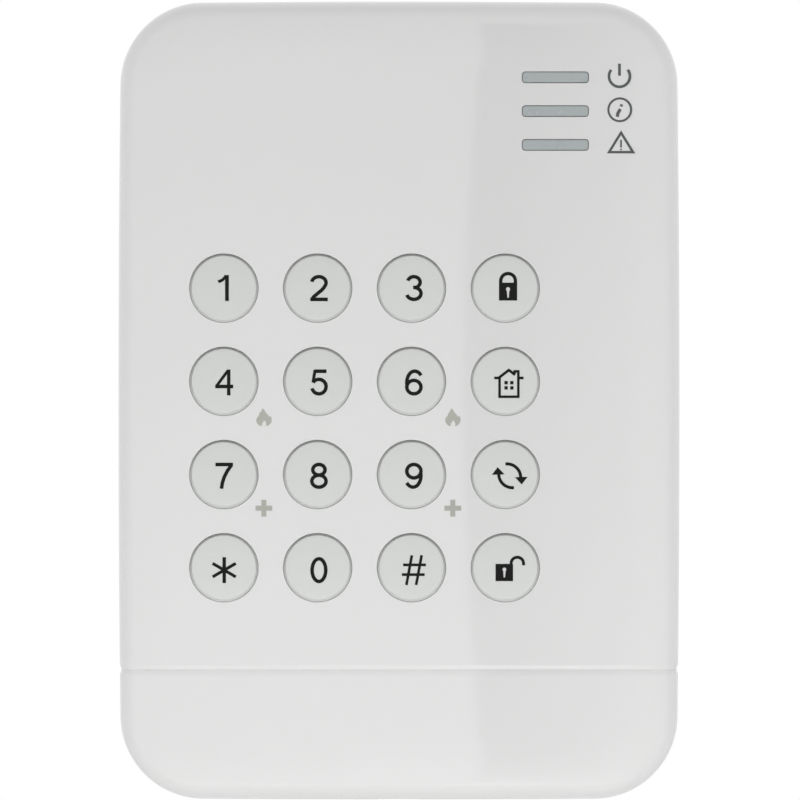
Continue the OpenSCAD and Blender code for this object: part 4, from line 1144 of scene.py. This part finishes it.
def cell_parts():
    x0, x1 = CELL_X0, CELL_X1
    wrap = [(4.3, x0 + 0.05), (4.7, x0 + 0.02), (5.1, x0 + 0.15), (5.25, x0 + 0.5), (5.25, x1 - 9.5)]
    band = [(5.25, x1 - 9.5), (5.25, x1 - 1.4), (5.12, x1 - 1.0), (4.8, x1 - 0.84), (4.3, x1 - 0.86)]
    base = [(0, x0), (3.6, x0), (4.1, x0 + 0.03), (4.32, x0 + 0.06)]
    cap = [(4.32, x1 - 0.88), (3.4, x1 - 0.95), (2.3, x1 - 0.95), (1.95, x1 - 0.9), (1.9, x1 - 0.2), (1.75, x1 - 0.02),
           (0, x1)]
    for name, profile, mat, *nodes in (("cell_wraps", wrap, SLEEVE, "battery_cells"), ("cell_bands", band, BAND),
                                       ("cell_bases", base, NICKEL), ("cell_caps", cap, NICKEL)):
        bm = both_cells(lambda: moved(lathe(profile, 72, "X"), 0, -CELL_T, 0))
        fit(name, bm, mat, *nodes, angle=40)


def battery_contacts():
    plate_x = BAY_HALF - 0.4

    def plates():
        parts = [box_bm(plate_x, 0, 0.5, 7, CELL_T - 3, CELL_T + 3, 0.12),
                 box_bm(-plate_x, 0, 0.5, 8, CELL_T - 4, CELL_T + 4, 0.12)]
        parts += [box_bm(s * plate_x, 0, 0.5, 1.4, CELL_T + 2, rear(0.9), 0.1) for s in (-1, 1)]
        pip = [(1.6, plate_x - 0.27), (1.4, plate_x - 0.29), (0, plate_x - 0.29)]
        return join_bm(parts + [moved(lathe(pip, 32, "X"), 0, -CELL_T, 0)])
    fit("battery_plates", both_cells(plates), NICKEL, "battery_contacts")


def battery_springs():
    wire, x0 = 0.35, -BAY_HALF + 0.67
    path = [(x0 + wire + x, y - CELL_T, z) for x, y, z in helix(3.6, 2.0, CELL_X0 - 0.02 - x0 - 2 * wire, 4)]
    fit("battery_coils", both_cells(lambda: tube_bm(path, wire, 12)), NICKEL, "battery_springs")


battery_holder()
cell_parts()
battery_contacts()
battery_springs()


# ---------------------------------------------------------------- tamper contact and screws

def tamper_parts():
    x, z = TAMPER
    corners = [(sx, sz) for sx in (-1, 1) for sz in (-1, 1)]
    o = soften(from_bm("tamper_switch_body", rear_box(x, z, 6, 6, 0.02, 4.2), BLACK), 0.2)
    cut_all(o, [turned([(2.05, rear(4.4)), (1.85, rear(4.1)), (1.85, rear(3.6))], x, z, 40)])
    place(o, "tamper_switch")
    pip = [(0.5, rear(4.15)), (0.45, rear(4.2)), (0.2, rear(4.2))]
    trim = [turned(pip, x + sx * 2.3, z + sz * 2.3, 20) for sx, sz in corners]
    foot = [(2.9, 0.9), (3.2, 0.9), (3.35, 0.3), (3.9, 0.3), (3.9, 0.03), (3.2, 0.03), (3.0, 0.6), (2.9, 0.6)]
    trim += [lead_bm(foot, 0.4, lambda u, s: (x + sx * u, z + sz * 2.25 + s)) for sx, sz in corners]
    fit("tamper_switch_trim", join_bm(trim), SOLDER)
    button = [(0, 9.4), (1.2, 9.42), (1.6, 9.5), (1.75, 9.68), (1.75, 10.15), (0, 10.15)]
    fit("tamper_button_cap", turned(button, x, z), KEYCAP, "tamper_button", body="tamper_cap")
    pin = [(0, 0.05), (2.2, 0.06), (2.45, 0.2), (2.5, 0.4), (2.5, 3.6), (2.6, 3.7), (3.7, 3.7), (3.8, 3.8), (3.8, 4.4),
           (3.7, 4.5), (1.7, 4.5), (1.5, 4.65), (1.5, 8.9), (1.3, 9.15), (0.9, 9.29), (0, 9.3)]
    fit("tamper_pin_body", turned(pin, x, z, 56), BASE_ABS, "tamper_pin", body="tamper_plunger")
    wire, t0, t1 = 0.2, 4.72, TOWER_T - 1.42
    path = [(x + b, -(t0 + a), z + c) for a, b, c in helix(2.9, 2.9, t1 - t0, 3)]
    fit("tamper_coil", tube_bm(path, wire, 10), NICKEL, "tamper_spring", body=BASE)


def thread(r, start, end, pitch, depth):
    """A zigzag that stands for a fine thread, as (radius, distance) pairs."""
    out, n = [], int((end - start) / pitch)
    for k in range(n):
        out += [(r, start + (k + 0.25) * pitch), (r - depth, start + (k + 0.75) * pitch)]
    return out


def board_screws():
    head = [(0, 1.5), (0.9, 1.49), (1.6, 1.32), (2.1, 0.95), (2.3, 0.5), (2.3, 0.05), (2.2, 0.02), (1.25, 0.02)]
    head = [(r, rear(height)) for r, height in head]
    shank = thread(1.25, BOARD_REAR_T + 0.2, BOARD_T + 2.9, 0.6, 0.22) + [(0.5, BOARD_T + 3.15), (0, BOARD_T + 3.2)]
    o = from_bm("board_screw_set", join_bm([turned(head + shank, x, z, 40) for x, z in BOARD_SCREWS]), ZINC)
    cuts = []
    for x, z in BOARD_SCREWS:
        cuts += [box_bm(x, z, w, h, rear(2), rear(0.75)) for w, h in ((2.4, 0.5), (0.5, 2.4))]
        cuts.append(turned([(0.75, rear(1.7)), (0.4, rear(0.65))], x, z, 16))
    place(cut_each(o, cuts), "board_screws")


def lock_screw():
    z0 = -63.85
    head = [(0, z0), (1.9, z0), (2.5, z0 + 0.15), (2.7, z0 + 0.5), (2.7, z0 + 1.6), (2.6, z0 + 1.7), (1.5, z0 + 1.7)]
    shank = [(1.5, z0 + 4.2)] + thread(1.5, z0 + 4.2, z0 + 9.9, 0.5, 0.2) + [(0.9, z0 + 10.25), (0, z0 + 10.3)]
    o = from_bm("lock_screw_body", moved(lathe(head + shank, 48, "Z"), 0, -LOCK_T, 0), ZINC)
    cut_all(o, [rings_bm([[(x, y - LOCK_T, z) for x, y in cross_outline(0.35, 1.6)] for z in (z0 - 1, z0 + 1)])])
    place(o, "lock_screw", body="lock")


tamper_parts()
board_screws()
lock_screw()


# ---------------------------------------------------------------- camera, light, stage

def stage_plane(name, size, loc, mat):
    bm = bmesh.new()
    bmesh.ops.create_grid(bm, x_segments=2, y_segments=2, size=size)
    o = from_bm(name, bm, mat)
    o.location = loc
    return o


stage_plane("floor", 1.4, (0, 0, -0.2), plastic("floor", (0.86, 0.86, 0.855), 0.6, 0.02, 0.004, 400, 0.01))

# a far camera with a long lens, aimed square at the face. VIEW_W is what it sees across, in metres
VIEW_W, DISTANCE, SENSOR = 0.128, 6.0, 36
cam = bpy.data.objects.new("camera", bpy.data.cameras.new("camera"))
bpy.context.scene.collection.objects.link(cam)
cam.location = (0.00016, -DISTANCE - 0.018, 0.0001)  # the photo sits a fraction off centre
cam.rotation_euler = (math.pi / 2, 0, 0)
cam.data.sensor_width = SENSOR
cam.data.lens = SENSOR * DISTANCE / VIEW_W
cam.data.clip_end = 30
bpy.context.scene.camera = cam


def area(name, loc, target, size, power):
    light = bpy.data.lights.new(name, "AREA")
    light.shape, light.size, light.size_y = "RECTANGLE", *size
    light.energy = power
    o = bpy.data.objects.new(name, light)
    bpy.context.scene.collection.objects.link(o)
    o.location = loc
    o.rotation_euler = (Vector(target) - Vector(loc)).to_track_quat("-Z", "Y").to_euler()
    o.visible_camera = o.visible_glossy = False


area("fill_low", (0.0, -0.28, -0.165), (0, 0, -0.055), (0.3, 0.05), 0.33)

world = bpy.data.worlds.new("studio")
bpy.context.scene.world = world
world.use_nodes = True
background = world.node_tree.nodes["Background"]
background.inputs["Color"].default_value = (1, 1, 1, 1)
background.inputs["Strength"].default_value = 1.0

bpy.context.scene.view_settings.view_transform = "Standard"
bpy.context.scene.view_settings.look = "None"

QUARTER = math.pi / 2
BEND_END = 0.026  # the square of how far up and down a card its curve goes on bending


def flag(name, w, h, loc, turn, stops, diffuse=False, curve=0.0):
    """A glowing card the camera can't see. stops gives its brightness from left to right, and curve bends them."""
    fade = material(name + "_fade", (0, 0, 0), 1.0, Emission_Strength=1.0, Specular_IOR_Level=0.0)
    o = stage_plane(name, 0.5, loc, fade)
    o.scale = (w, h, 1)
    o.rotation_euler = turn
    o.visible_camera = o.visible_shadow = False
    o.visible_diffuse = diffuse

    def calc(operation, *values):
        node = add(fade, "ShaderNodeMath", operation=operation)
        for socket, value in zip(node.inputs, values):
            if isinstance(value, tuple):
                fade.node_tree.links.new(value[0].outputs[value[1]], socket)
            else:
                socket.default_value = value
        return node, "Value"
    across = add(fade, "ShaderNodeSeparateXYZ", {"Vector": (add(fade, "ShaderNodeTexCoord"), "Object")})
    square = calc("MULTIPLY", (across, "Y"), (across, "Y"))
    bend = calc("MULTIPLY", calc("MINIMUM", square, BEND_END), curve)
    at = calc("SUBTRACT", calc("ADD", (across, "X"), 0.5), bend)
    feed(fade, "Emission Color", ramp(fade, *at, stops))


flag("card", 0.12, 0.4, (0.0516, -0.32, 0.0), (QUARTER, 0, 0),
     [(0.0, 1.0), (0.157, 1.0), (0.163, 0.0), (0.22, 0.1), (0.36, 0.7), (1.0, 0.95)], curve=1.1)
flag("ceiling", 0.7, 0.7, (0, -0.15, 0.2), (0, 0, 0), [(0.0, 0.93), (1.0, 0.93)], True)
flag("behind", 1.6, 1.6, (0, 0.4, 0.3), (QUARTER, 0, 0), [(0.0, 0.75), (1.0, 0.75)])
for side in (-1, 1):
    flag(f"flag_side_{'r' if side > 0 else 'l'}", 0.4, 0.36, (0.17 * side, -0.02, 0.0), (0, QUARTER, 0),
         [(0.0, 0.95), (1.0, 0.95)])
